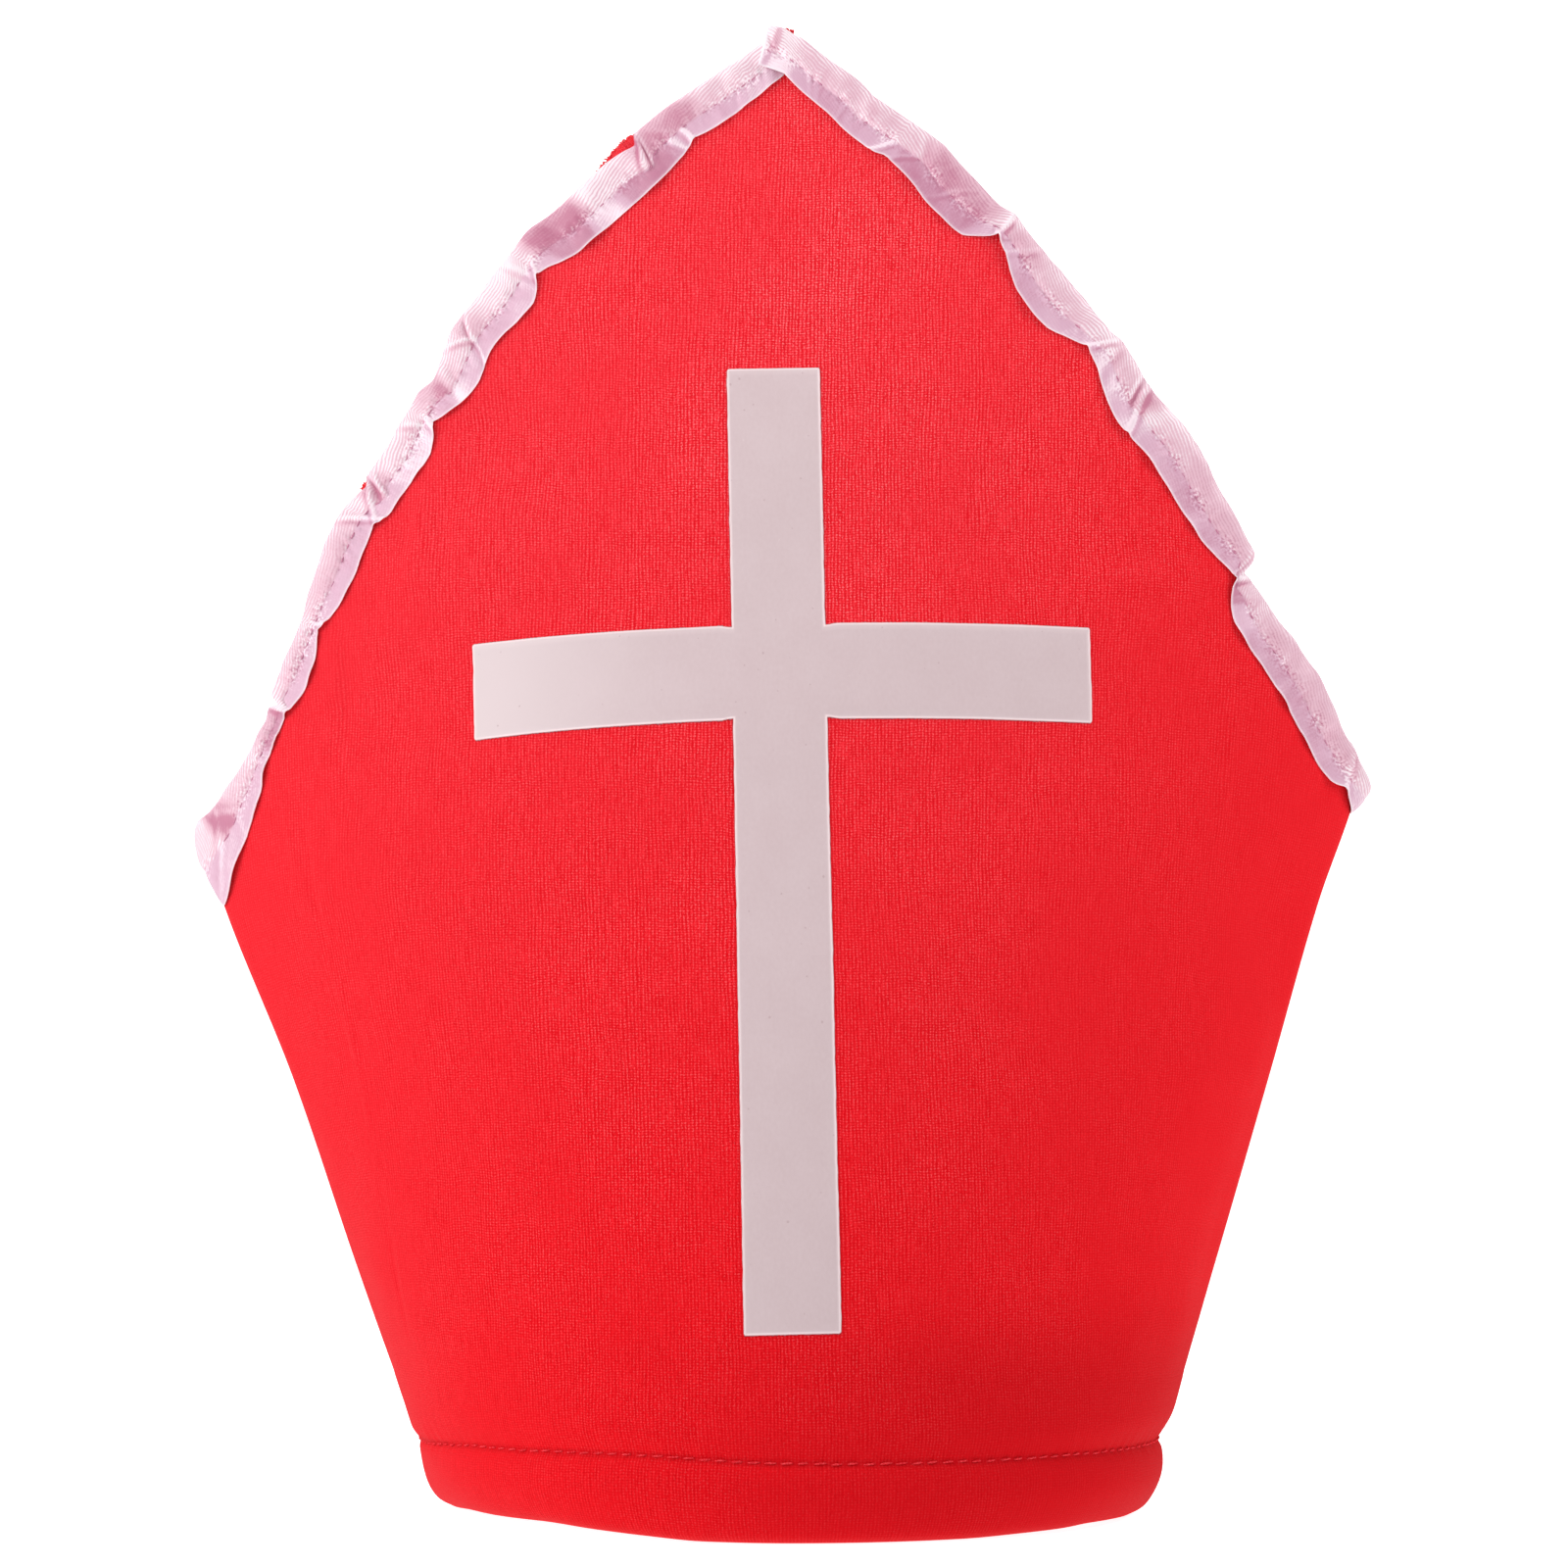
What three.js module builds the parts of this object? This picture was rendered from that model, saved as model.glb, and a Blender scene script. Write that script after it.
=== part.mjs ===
// A soft costume mitre: two shield-shaped panels of foam-backed knit, joined at the side seams and open
// at the top, with a turned-in padded hem, satin ribbon folded over the slanted edges and a printed cross.
// Millimetres, +Z up. The front faces -Y, with +X on the right. The origin is on the floor, in the middle.

import * as THREE from 'three';

// Driving dimensions

const WALL = 2.6; // foam-backed knit
const SEAM_GAP = 0.3; // between the two panels along the side seams
const PEAK = { x: 0, z: 360.5 }; // cut point of each panel
const LEFT_SHOULDER = 164.5; // height where the left slanted edges reach the side seam
const RIGHT_SHOULDER = 178.5;

const RIBBON = 1.0; // satin, doubled by its folded-in edges
const RIBBON_GAP = 0.5; // between the ribbon and the panel in it
const RIBBON_TOP = 1.9; // how far the fold of the ribbon stands above the cut edge
const RIBBON_INSIDE = 9; // width of the ribbon's leg inside the hat
const RIBBON_PUFF = 0.045; // how far a leg swells between its edges, for each millimetre of its width
const RIBBON_CORNER = 0.5; // start of the rounded fold below the cut edge
const RIBBON_BEND = 0.6; // rounding of the fold's two corners
const MITRE_RUN = 24; // stretch over which the ribbon turns to the middle line at a point
const SHOULDER_RUN = 15; // stretch over which it turns to the side seam
const LAP_REACH = 12; // how far the right ribbon's end laps over the left one
const LAP_LIFT = 1.9; // how far the lap lies off the panel beyond a single ribbon
const LAP_FADE = 8; // stretch in which the lap comes down again

const PRINT = 0.4; // printed film
const PRINT_GAP = 0.35; // between the film and the panel
const CROSS_FOOT = { x: 2.0, z: 47.8 };
const CROSS_HEAD = { x: -2.6, z: 278.2 };
const CROSS_BAR = 22.6; // width of the upright and of the arms
const CROSS_ARM_AT = 155.6; // middle of the arms above the foot
const CROSS_ARM_LEFT = 74.3;
const CROSS_ARM_RIGHT = 75.1;
const CROSS_DROOP = 1.4; // how far the arms' ends hang below a straight line

// Level sections of the body. From the middle of the hat to the left and right seams, and to the front.
const SECTIONS = table(['z', 'middle', 'left', 'right', 'depth'], [
  [18, 1.4, 91.7, 92.5, 92.5],
  [58, 0.7, 106.0, 105.5, 85.0],
  [107, -0.3, 122.0, 121.0, 75.5],
  [150, -1.2, 138.6, 134.4, 66.0],
  [178, -1.6, 145.9, 144.6, 60.0],
  [210, -1.6, 150.5, 151.0, 54.2],
  [278, -1.4, 152.0, 152.0, 42.0],
  [364, 0.0, 152.0, 152.0, 26.0],
]);

// The padded hem from the wall down to the floor, and up again inside to the cut end of the turned-in cloth.
const HEM_OUTSIDE = table(['out', 'z'], [
  [0, 24],
  [-0.9, 18],
  [-0.5, 14.5],
  [-1.0, 10],
  [-2.9, 5.2],
  [-5.0, 2.2],
  [-8.0, 0],
]);
const HEM_INSIDE = table(['out', 'z'], [
  [-11.0, 0],
  [-12.6, 3.4],
  [-12.0, 9],
  [-9.0, 14],
  [-5.6, 18],
  [-6.0, 21.5],
  [-5.6, 25],
]);
const HEM_TOP = 25.4; // inside wall just above the turned-in end

// Gathers of the ribbon, a row for each pinch and swell: distance down the edge from the point, visible
// width of the ribbon, and how far the edge rises out of a smooth curve.
const FRONT_LEFT_FOLDS = table(['at', 'width', 'rise'], [
  [0, 8.7, 0],
  [12, 10.5, 0.2],
  [28, 10.9, 0.3],
  [45, 13.5, 0],
  [65, 12.4, -0.8],
  [76, 11.6, 0.7],
  [84, 9.1, 0.6],
  [95, 12.3, 0.5],
  [109, 11.0, 0.1],
  [120, 9.6, -1.8],
  [130, 7.7, -0.4],
  [147, 10.9, 0.6],
  [163, 9.9, 2.4],
  [178, 9.0, 1.4],
  [188, 5.9, -0.4],
  [200, 7.9, -0.8],
  [213, 4.9, -2.4],
  [225, 7.4, -0.8],
  [236, 10.4, 0.6],
  [246, 11.4, 0],
]);
const FRONT_RIGHT_FOLDS = table(['at', 'width', 'rise'], [
  [0, 8.7, 0],
  [14, 11.2, 0.5],
  [27, 12.0, -0.2],
  [40, 11.6, 0.8],
  [54, 12.9, 0],
  [65, 11.8, -0.5],
  [71, 7.1, 0.3],
  [80, 10.2, -0.3],
  [92, 12.6, -0.5],
  [105, 7.3, 0],
  [120, 11.1, 0],
  [131, 12.5, 0.9],
  [143, 12.4, 1.9],
  [160, 10.9, 1.0],
  [170, 8.4, 0.8],
  [176, 4.8, -2.8],
  [186, 10.2, -1.9],
  [197, 10.9, 0],
  [212, 10.9, 0.9],
  [225, 9.9, 0.7],
  [235, 8.7, 0],
]);
const BACK_FOLDS = table(['at', 'width', 'rise'], [
  [0, 8.7, 0],
  [12, 10.8, 0.3],
  [24, 11.8, 0.4],
  [38, 12.2, -0.3],
  [50, 10.8, -0.2],
  [58, 8.2, 0.2],
  [68, 11.0, 0.3],
  [80, 12.0, 0.5],
  [94, 11.6, -0.4],
  [104, 10.4, -0.2],
  [112, 7.8, 0],
  [122, 10.6, 0.4],
  [134, 11.8, 0.8],
  [148, 11.0, 0.6],
  [160, 9.4, 0.2],
  [168, 7.0, -1.0],
  [178, 9.6, -0.6],
  [190, 10.6, -0.2],
  [202, 10.9, 0.4],
  [213, 10.4, 0.5],
  [224, 9.8, 0.3],
  [235, 10.0, 0],
]);

const LEFT_EDGE = { upper: { x: -88.5, z: 309.5 }, lower: { x: -100.2, z: 240.5 } };
const RIGHT_EDGE = { upper: { x: 75.0, z: 312.0 }, lower: { x: 100.4, z: 256.5 } };

const OUTER_ROWS = 12; // steps up the outside of a panel
const INNER_ROWS = 12;
const FOLD_STEPS = 2; // ribbon stations for each row of the fold tables
const LAST_FOLD = 6; // a row nearer to the shoulder than this gives way to the shoulder's own
const SLOPE_STEP = 0.001; // step for finding which way the face looks
const CROSS_STEPS = { arm: 8, bar: 2, lower: 12, upper: 6 };

const LEFT = -1;
const RIGHT = 1;
const FRONT = 1;
const BACK = -1;

// Rows of numbers as objects with named columns.
function table(names, rows) {
  return rows.map((row) => Object.fromEntries(names.map((name, i) => [name, row[i]])));
}

// The section at a height, by a smooth curve through the rows. Below the first row the wall is upright.
function sectionAt(z) {
  const last = SECTIONS.length - 1;
  if (z <= SECTIONS[0].z) return SECTIONS[0];
  const above = SECTIONS.findIndex((row) => row.z > z);
  const i = above < 0 ? last - 1 : above - 1;
  const [a, b] = [SECTIONS[i], SECTIONS[i + 1]];
  const before = SECTIONS[Math.max(i - 1, 0)];
  const after = SECTIONS[Math.min(i + 2, last)];
  const step = b.z - a.z;
  const t = (z - a.z) / step;
  const section = {};
  for (const name of Object.keys(a)) {
    const slopeA = ((b[name] - before[name]) / (b.z - before.z)) * step;
    const slopeB = ((after[name] - a[name]) / (after.z - a.z)) * step;
    const rise = b[name] - a[name];
    section[name] = a[name] + t * slopeA + t * t * (3 * rise - 2 * slopeA - slopeB)
      + t * t * t * (slopeA + slopeB - 2 * rise);
  }
  return section;
}

// Half the angle that a level section's arc turns through, from its middle to a seam.
function halfTurn(section) {
  return 2 * Math.atan2(section.depth, (section.left + section.right) / 2);
}

// A point of the front panel. across is -1 at the left seam and 1 at the right one, and out is the
// distance off the outer face.
function bodyPoint(across, z, out = 0) {
  const section = sectionAt(z);
  const turn = halfTurn(section);
  const reach = (across < 0 ? section.left : section.right) + out / Math.sin(turn);
  const bulge = (Math.cos(turn * across) - Math.cos(turn)) / (1 - Math.cos(turn));
  const x = section.middle + (reach * Math.sin(turn * across)) / Math.sin(turn);
  return new THREE.Vector3(x, -(section.depth + out) * bulge - SEAM_GAP / 2, z);
}

// Where across the panel a point of the front view lies.
function acrossAt(x, z) {
  const section = sectionAt(z);
  const turn = halfTurn(section);
  const half = x < section.middle ? section.left : section.right;
  const sine = ((x - section.middle) / half) * Math.sin(turn);
  return Math.asin(THREE.MathUtils.clamp(sine, -Math.sin(turn), Math.sin(turn))) / turn;
}

// The outer face behind a point of the front view, with the direction that it faces.
function faceAt(x, z) {
  const across = acrossAt(x, z);
  const sideways = bodyPoint(across + SLOPE_STEP, z).sub(bodyPoint(across - SLOPE_STEP, z));
  const upwards = bodyPoint(across, z + SLOPE_STEP).sub(bodyPoint(across, z - SLOPE_STEP));
  return { point: bodyPoint(across, z), normal: sideways.cross(upwards).normalize() };
}

// The cut edge of a panel from its point down to the shoulder, in the front view.
function slantedEdge(side) {
  const { upper, lower } = side === LEFT ? LEFT_EDGE : RIGHT_EDGE;
  const shoulder = bodyPoint(side, side === LEFT ? LEFT_SHOULDER : RIGHT_SHOULDER);
  return new THREE.CubicBezierCurve(
    new THREE.Vector2(PEAK.x, PEAK.z),
    new THREE.Vector2(upper.x, upper.z),
    new THREE.Vector2(lower.x, lower.z),
    new THREE.Vector2(shoulder.x, shoulder.z),
  );
}

// The places along a slanted edge where its gathers begin and end. inward points from the edge into the
// panel, at a right angle to the edge.
function edgePlaces(side, folds) {
  const curve = slantedEdge(side);
  const length = curve.getLength();
  const rows = folds.filter((row) => row.at < length - LAST_FOLD);
  rows.push({ ...folds[folds.length - 1], at: length });
  return rows.map(({ at, width, rise }) => {
    const along = curve.getTangentAt(at / length);
    const inward = new THREE.Vector2(along.y * side, -along.x * side);
    const top = curve.getPointAt(at / length).addScaledVector(inward, -rise);
    return { at, width, top, inward, toShoulder: length - at };
  });
}

// A closed body through a row of sections with equally many points. flatFirst and flatLast are the two end
// sections laid in a plane, for closing the ends.
function sweep(sections, flatFirst, flatLast) {
  const count = sections[0].length;
  const points = sections.flat();
  const faces = [];
  for (let k = 0; k + 1 < sections.length; k += 1) {
    for (let j = 0; j < count; j += 1) {
      const next = (j + 1) % count;
      const [a, b] = [k * count + j, k * count + next];
      faces.push([a, b, b + count], [a, b + count, a + count]);
    }
  }
  const end = (sections.length - 1) * count;
  capFaces(flatFirst).forEach(([a, b, c]) => faces.push([a, c, b]));
  capFaces(flatLast).forEach(([a, b, c]) => faces.push([end + a, end + b, end + c]));
  return closedBody(points, faces);
}

// Triangles that fill a flat outline, turning the same way as the outline does.
function capFaces(outline) {
  const turn = Math.sign(THREE.ShapeUtils.area(outline));
  return THREE.ShapeUtils.triangulateShape(outline, []).map((face) => {
    const area = THREE.ShapeUtils.area(face.map((i) => outline[i]));
    return Math.sign(area) === turn ? face : [face[0], face[2], face[1]];
  });
}

// A geometry whose faces point outwards.
function closedBody(points, faces) {
  const volume = faces.reduce((sum, [a, b, c]) => (
    sum + points[a].dot(points[b].clone().cross(points[c]))
  ), 0);
  const index = faces.flatMap(([a, b, c]) => (volume > 0 ? [a, b, c] : [a, c, b]));
  const geometry = new THREE.BufferGeometry().setFromPoints(points);
  geometry.setIndex(index);
  geometry.computeVertexNormals();
  return geometry;
}

// Points of the front turned to the back of the hat.
function placed(points, facing) {
  return points.map((p) => new THREE.Vector3(p.x, p.y * facing, p.z));
}

// One panel: upright strips side by side, each a closed outline from the hem up the outside, over the cut
// edge, down the inside and round the turned-in hem.
function panelGeometry(facing, leftFolds, rightFolds) {
  const leftPlaces = edgePlaces(LEFT, leftFolds).reverse();
  const rightPlaces = edgePlaces(RIGHT, rightFolds).slice(1);
  const outlines = [...leftPlaces, ...rightPlaces].map(({ top }) => {
    const across = acrossAt(top.x, top.y);
    const lean = faceAt(top.x, top.y).normal.z;
    return panelOutline(top.y, top.y - WALL * lean).map(({ out, z }) => (
      { point: bodyPoint(across, z, out), flat: new THREE.Vector2(out, z) }
    ));
  });
  const sections = outlines.map((outline) => placed(outline.map(({ point }) => point), facing));
  const flat = (outline) => outline.map((corner) => corner.flat);
  return sweep(sections, flat(outlines[0]), flat(outlines[outlines.length - 1]));
}

// The outline of a panel's wall and hem at one place, as distances off the outer face and heights. The
// wall is cut off square, so its inner face ends at another height.
function panelOutline(top, innerTop) {
  const outline = [...HEM_OUTSIDE].reverse();
  const hem = HEM_OUTSIDE[0].z;
  for (let i = 1; i <= OUTER_ROWS; i += 1) {
    outline.push({ out: 0, z: THREE.MathUtils.lerp(hem, top, i / OUTER_ROWS) });
  }
  for (let i = INNER_ROWS; i >= 0; i -= 1) {
    outline.push({ out: -WALL, z: THREE.MathUtils.lerp(HEM_TOP, innerTop, i / INNER_ROWS) });
  }
  return [...outline, ...[...HEM_INSIDE].reverse()];
}

// The ribbon's cross-section: off is the distance off the panel's outer face, and down the distance below
// the cut edge. lift holds it further off where it lies on another ribbon.
function ribbonOutline(leg, lift) {
  const near = RIBBON_GAP + lift;
  const outer = near + RIBBON;
  const inner = -WALL - outer;
  const puff = RIBBON_PUFF * leg;
  const fold = -RIBBON_TOP - lift;
  return table(['off', 'down'], [
    [near, leg],
    [outer, leg],
    [outer + puff, leg / 2],
    [outer, RIBBON_CORNER],
    [outer - RIBBON_BEND, fold + RIBBON_BEND],
    [-WALL / 2, fold],
    [inner + RIBBON_BEND, fold + RIBBON_BEND],
    [inner, RIBBON_CORNER],
    [inner - puff / 2, RIBBON_INSIDE / 2],
    [inner, RIBBON_INSIDE],
    [-WALL - near, RIBBON_INSIDE],
    [-WALL - near, -near],
    [near, -near],
  ]);
}

// One section of a ribbon on the front panel. The section runs down the panel along `down`, which is
// stretched so that distances still hold at a right angle to the edge. At a side seam (seam = 1) the
// section lies in the plane between the two panels.
function ribbonSection({ top, inward, down, width, lift = 0, seam = 0 }) {
  const way = down.clone().divideScalar(down.dot(inward));
  const edge = faceAt(top.x, top.y);
  const ahead = faceAt(top.x + way.x, top.y + way.y);
  const slope = ahead.point.clone().sub(edge.point);
  const flat = [];
  const points = ribbonOutline(width - RIBBON_TOP, lift).map(({ off, down: drop }) => {
    flat.push(new THREE.Vector2(off, drop));
    const face = drop > 0 ? faceAt(top.x + way.x * drop, top.y + way.y * drop) : edge;
    const normal = face.normal.clone();
    const level = new THREE.Vector3(normal.x, 0, normal.z);
    level.divideScalar(level.lengthSq());
    normal.lerp(level, seam);
    const point = face.point.clone().addScaledVector(normal, off);
    if (drop <= 0) point.addScaledVector(slope, drop);
    point.y += (SEAM_GAP / 2) * seam;
    if (seam === 1) point.y = 0;
    return point;
  });
  return { points, flat };
}

// The ribbon on one slanted edge of the front panel, from the point to the shoulder.
function ribbonSections(side, folds, lapped) {
  const places = edgePlaces(side, folds);
  const shoulder = places[places.length - 1].top;
  const seamFoot = bodyPoint(side, shoulder.y - RIBBON_INSIDE);
  const alongSeam = new THREE.Vector2(seamFoot.x - shoulder.x, seamFoot.z - shoulder.y).normalize();
  const straightDown = new THREE.Vector2(0, -1);
  const sections = [];
  for (let i = 0; i < places.length; i += 1) {
    const [a, b] = [places[i], places[Math.min(i + 1, places.length - 1)]];
    const steps = a === b ? 1 : FOLD_STEPS;
    for (let n = 0; n < steps; n += 1) {
      const t = n / steps;
      const inward = a.inward.clone().lerp(b.inward, t).normalize();
      const at = THREE.MathUtils.lerp(a.at, b.at, t);
      const toShoulder = THREE.MathUtils.lerp(a.toShoulder, b.toShoulder, t);
      const mitre = Math.max(0, 1 - at / MITRE_RUN);
      const seam = Math.max(0, 1 - toShoulder / SHOULDER_RUN);
      const down = inward.clone().lerp(straightDown, mitre).lerp(alongSeam, seam).normalize();
      sections.push(ribbonSection({
        top: a.top.clone().lerp(b.top, t),
        inward,
        down,
        width: THREE.MathUtils.lerp(a.width, b.width, THREE.MathUtils.smoothstep(t, 0, 1)),
        lift: lapped ? LAP_LIFT * Math.max(0, 1 - at / LAP_FADE) : 0,
        seam,
      }));
    }
  }
  return lapped ? [...lapSections(), ...sections] : sections;
}

// The right ribbon's folded end, which passes the point and lies on the left ribbon.
function lapSections() {
  const [peak, next] = edgePlaces(LEFT, FRONT_LEFT_FOLDS);
  return [1, 0.5].map((part) => ribbonSection({
    top: peak.top.clone().lerp(next.top, (part * LAP_REACH) / next.at),
    inward: peak.inward,
    down: new THREE.Vector2(0, -1),
    width: peak.width,
    lift: LAP_LIFT,
  }));
}

// One ribbon in a single length: down the front edge, round the shoulder and up the back edge.
function bindingGeometry(side, frontFolds) {
  const lapped = side === RIGHT;
  const front = ribbonSections(side, frontFolds, lapped);
  const back = ribbonSections(side, BACK_FOLDS, lapped);
  back.pop();
  const sections = [
    ...front.map(({ points }) => placed(points, FRONT)),
    ...back.reverse().map(({ points }) => placed(points, BACK)),
  ];
  return sweep(sections, front[0].flat, back[back.length - 1].flat);
}

// Evenly spaced marks from one place to another, without the last.
function marks(from, to, steps) {
  return Array.from({ length: steps }, (_, i) => THREE.MathUtils.lerp(from, to, i / steps));
}

// The printed cross: a thin film in small squares that follow the panel.
function crossGeometry() {
  const half = CROSS_BAR / 2;
  const height = Math.hypot(CROSS_HEAD.x - CROSS_FOOT.x, CROSS_HEAD.z - CROSS_FOOT.z);
  const across = [
    ...marks(-CROSS_ARM_LEFT, -half, CROSS_STEPS.arm),
    ...marks(-half, half, CROSS_STEPS.bar),
    ...marks(half, CROSS_ARM_RIGHT, CROSS_STEPS.arm),
    CROSS_ARM_RIGHT,
  ];
  const up = [
    ...marks(0, CROSS_ARM_AT - half, CROSS_STEPS.lower),
    ...marks(CROSS_ARM_AT - half, CROSS_ARM_AT + half, CROSS_STEPS.bar),
    ...marks(CROSS_ARM_AT + half, height, CROSS_STEPS.upper),
    height,
  ];
  const inside = (i, j) => {
    if (i < 0 || j < 0 || i + 1 >= across.length || j + 1 >= up.length) return false;
    const [p, q] = [(across[i] + across[i + 1]) / 2, (up[j] + up[j + 1]) / 2];
    return Math.abs(p) < half || Math.abs(q - CROSS_ARM_AT) < half;
  };
  const points = [];
  const known = new Map();
  const corner = (i, j, level) => {
    const key = `${i},${j},${level}`;
    if (!known.has(key)) {
      known.set(key, points.length);
      points.push(crossPoint(across[i], up[j], height, PRINT_GAP + PRINT * level));
    }
    return known.get(key);
  };
  const faces = [];
  const square = (a, b, c, d) => faces.push([a, b, c], [a, c, d]);
  for (let i = 0; i + 1 < across.length; i += 1) {
    for (let j = 0; j + 1 < up.length; j += 1) {
      if (inside(i, j)) {
        const ring = [[i, j], [i + 1, j], [i + 1, j + 1], [i, j + 1]];
        const beside = [[i, j - 1], [i + 1, j], [i, j + 1], [i - 1, j]];
        square(...ring.map(([u, v]) => corner(u, v, 1)));
        square(...ring.map(([u, v]) => corner(u, v, 0)).reverse());
        ring.forEach(([u, v], side) => {
          const [s, t] = ring[(side + 1) % ring.length];
          if (!inside(...beside[side])) {
            square(corner(u, v, 0), corner(s, t, 0), corner(s, t, 1), corner(u, v, 1));
          }
        });
      }
    }
  }
  return closedBody(points, faces);
}

// A point of the cross, from its place beside the upright's middle line and up from the foot.
function crossPoint(across, up, height, off) {
  const rise = new THREE.Vector2(CROSS_HEAD.x - CROSS_FOOT.x, CROSS_HEAD.z - CROSS_FOOT.z);
  const lean = rise.divideScalar(height);
  const droop = CROSS_DROOP * (across / CROSS_ARM_RIGHT) ** 2;
  const x = CROSS_FOOT.x + lean.x * (up - droop) + lean.y * across;
  const z = CROSS_FOOT.z + lean.y * (up - droop) - lean.x * across;
  const { point, normal } = faceAt(x, z);
  return point.addScaledVector(normal, off);
}

function piece(name, geometry, { color, roughness }) {
  const material = new THREE.MeshStandardMaterial({ color, roughness, metalness: 0 });
  const mesh = new THREE.Mesh(geometry, material);
  mesh.name = name;
  return mesh;
}

const KNIT = { color: 0xf12935, roughness: 0.85 };
const SATIN = { color: 0xe6c4d2, roughness: 0.4 };
const FILM = { color: 0xd8c2c4, roughness: 0.7 };

const mitre = new THREE.Group();
mitre.name = 'mitre';
mitre.add(
  piece('front_panel', panelGeometry(FRONT, FRONT_LEFT_FOLDS, FRONT_RIGHT_FOLDS), KNIT),
  piece('back_panel', panelGeometry(BACK, BACK_FOLDS, BACK_FOLDS), KNIT),
  piece('left_binding', bindingGeometry(LEFT, FRONT_LEFT_FOLDS), SATIN),
  piece('right_binding', bindingGeometry(RIGHT, FRONT_RIGHT_FOLDS), SATIN),
  piece('cross_print', crossGeometry(), FILM),
);

export default mitre;
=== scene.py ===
import math

import bpy
import numpy as np
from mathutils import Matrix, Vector
from mathutils.geometry import tessellate_polygon


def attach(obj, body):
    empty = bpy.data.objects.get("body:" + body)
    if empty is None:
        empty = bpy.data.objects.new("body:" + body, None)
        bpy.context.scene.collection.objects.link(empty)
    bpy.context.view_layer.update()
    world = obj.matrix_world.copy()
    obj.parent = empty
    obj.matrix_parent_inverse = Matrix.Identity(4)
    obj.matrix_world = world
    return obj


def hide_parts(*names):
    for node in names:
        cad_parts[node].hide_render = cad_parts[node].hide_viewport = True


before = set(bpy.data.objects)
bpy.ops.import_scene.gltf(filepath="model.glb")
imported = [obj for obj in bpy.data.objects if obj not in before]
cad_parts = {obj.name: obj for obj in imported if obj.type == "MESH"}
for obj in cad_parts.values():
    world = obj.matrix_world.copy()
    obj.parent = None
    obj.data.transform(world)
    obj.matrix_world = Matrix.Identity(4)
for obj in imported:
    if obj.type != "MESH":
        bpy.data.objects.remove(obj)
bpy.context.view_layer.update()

MM = 0.001
SEEDS = {  # of the random draws
    "front_cloth": 11, "back_cloth": 31, "left_ribbon": 100, "right_ribbon": 200, "hem_stitches": 7,
    "left_ribbon_stitches": 61, "right_ribbon_stitches": 62, "frayed_edge": 9, "folds": 77,
}

# The body of the cap, in millimetres, as the frame has it.
WALL = 2.6
SEAM_GAP = 0.3
PEAK = (0.0, 360.5)
LEFT, RIGHT = -1, 1
FRONT, BACK = 1, -1
SHOULDER = {LEFT: 164.5, RIGHT: 178.5}
EDGE_PULLS = {LEFT: ((-88.5, 309.5), (-100.2, 240.5)), RIGHT: ((75.0, 312.0), (100.4, 256.5))}
SECTIONS = np.array([  # height, middle, reach to the left and right seams, depth to the front
    [18, 1.4, 91.7, 92.5, 92.5],
    [58, 0.7, 106.0, 105.5, 85.0],
    [107, -0.3, 122.0, 121.0, 75.5],
    [150, -1.2, 138.6, 134.4, 66.0],
    [178, -1.6, 145.9, 144.6, 60.0],
    [210, -1.6, 150.5, 151.0, 54.2],
    [278, -1.4, 152.0, 152.0, 42.0],
    [364, 0.0, 152.0, 152.0, 26.0],
])

# The hem's roll, as distance off the panel's face and height, and the row of stitches that holds it.
HEM_OUTSIDE = np.array([
    [-8.0, 0.0], [-5.0, 1.6], [-2.7, 4.8], [-1.0, 9.0], [-0.5, 13.0], [-0.9, 16.4], [-2.0, 18.4],
    [-1.7, 19.8], [-0.8, 21.8], [0.0, 24.2], [0.25, 27.2], [0.15, 33.0],
])
HEM_INSIDE = np.array([
    [-5.6, 25.0], [-6.0, 21.5], [-5.6, 18.0], [-9.0, 14.0], [-12.0, 9.0], [-12.6, 3.4], [-11.0, 0.0],
])
# Near the left seam the hem is drawn in less. By how much its crease is shallower, and its roll flatter.
HEM_EASE = (1.4, 0.7)
HEM_INSIDE_TOP = 25.4
HEM_LIFT_FADE = 24.0
HEM_STITCH_Z = 18.4
HEM_STITCH_OUT = -1.74
HEM_STITCH_UP = 21.7  # the same place, measured along the cloth
HEM_STITCH_PITCH = 3.9
HEM_STITCH_LENGTH = 2.7

# How far the hem stands off the floor, along the cloth from the middle, at its foot and at its stitches.
HEM_FOOT_LIFT = {
    FRONT: [
        [-145, 2.4], [-120, 2.9], [-106, 3.3], [-91, 3.1], [-71, 3], [-53, 2], [-38, 1.1], [-22, 0.2],
        [0, 0], [45, 0.1], [63, 0.5], [80, 0.8], [92, 1.2], [106, 1.1], [120, 0.9], [145, 0.8],
    ],
    BACK: [[-145, 2.4], [-125, 2], [-100, 0.9], [-75, 0], [90, 0], [115, 0.4], [145, 0.8]],
}
HEM_STITCH_LIFT = [
    [-145, 0], [-120, 0.1], [-90, 1.3], [-55, 1.6], [-38, 1.7], [-20, 1], [0, 0.2], [20, 0], [145, 0],
]
SEAM_ROUNDING = (1.25, 0.3)  # under the ribbon and below it
SEAM_OVERLAP = 0.005

# The ribbon over the slanted edges.
RIBBON_CLOTH = 0.24
RIBBON_GAP = 0.12
RIBBON_TOP = 1.9
RIBBON_INSIDE = 9.0
MITRE_RUN = 24.0
SHOULDER_RUN = 15.0
STITCH_PITCH = 3.2
STITCH_LENGTH = 2.1
STITCH_SHARE = 0.58
STITCH_MARGIN = 1.0
STITCH_START = {LEFT: 9.0, RIGHT: 1.5}
THREAD, HEM_THREAD = 0.16, 0.2
RIBBON_STEP = 0.42

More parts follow.
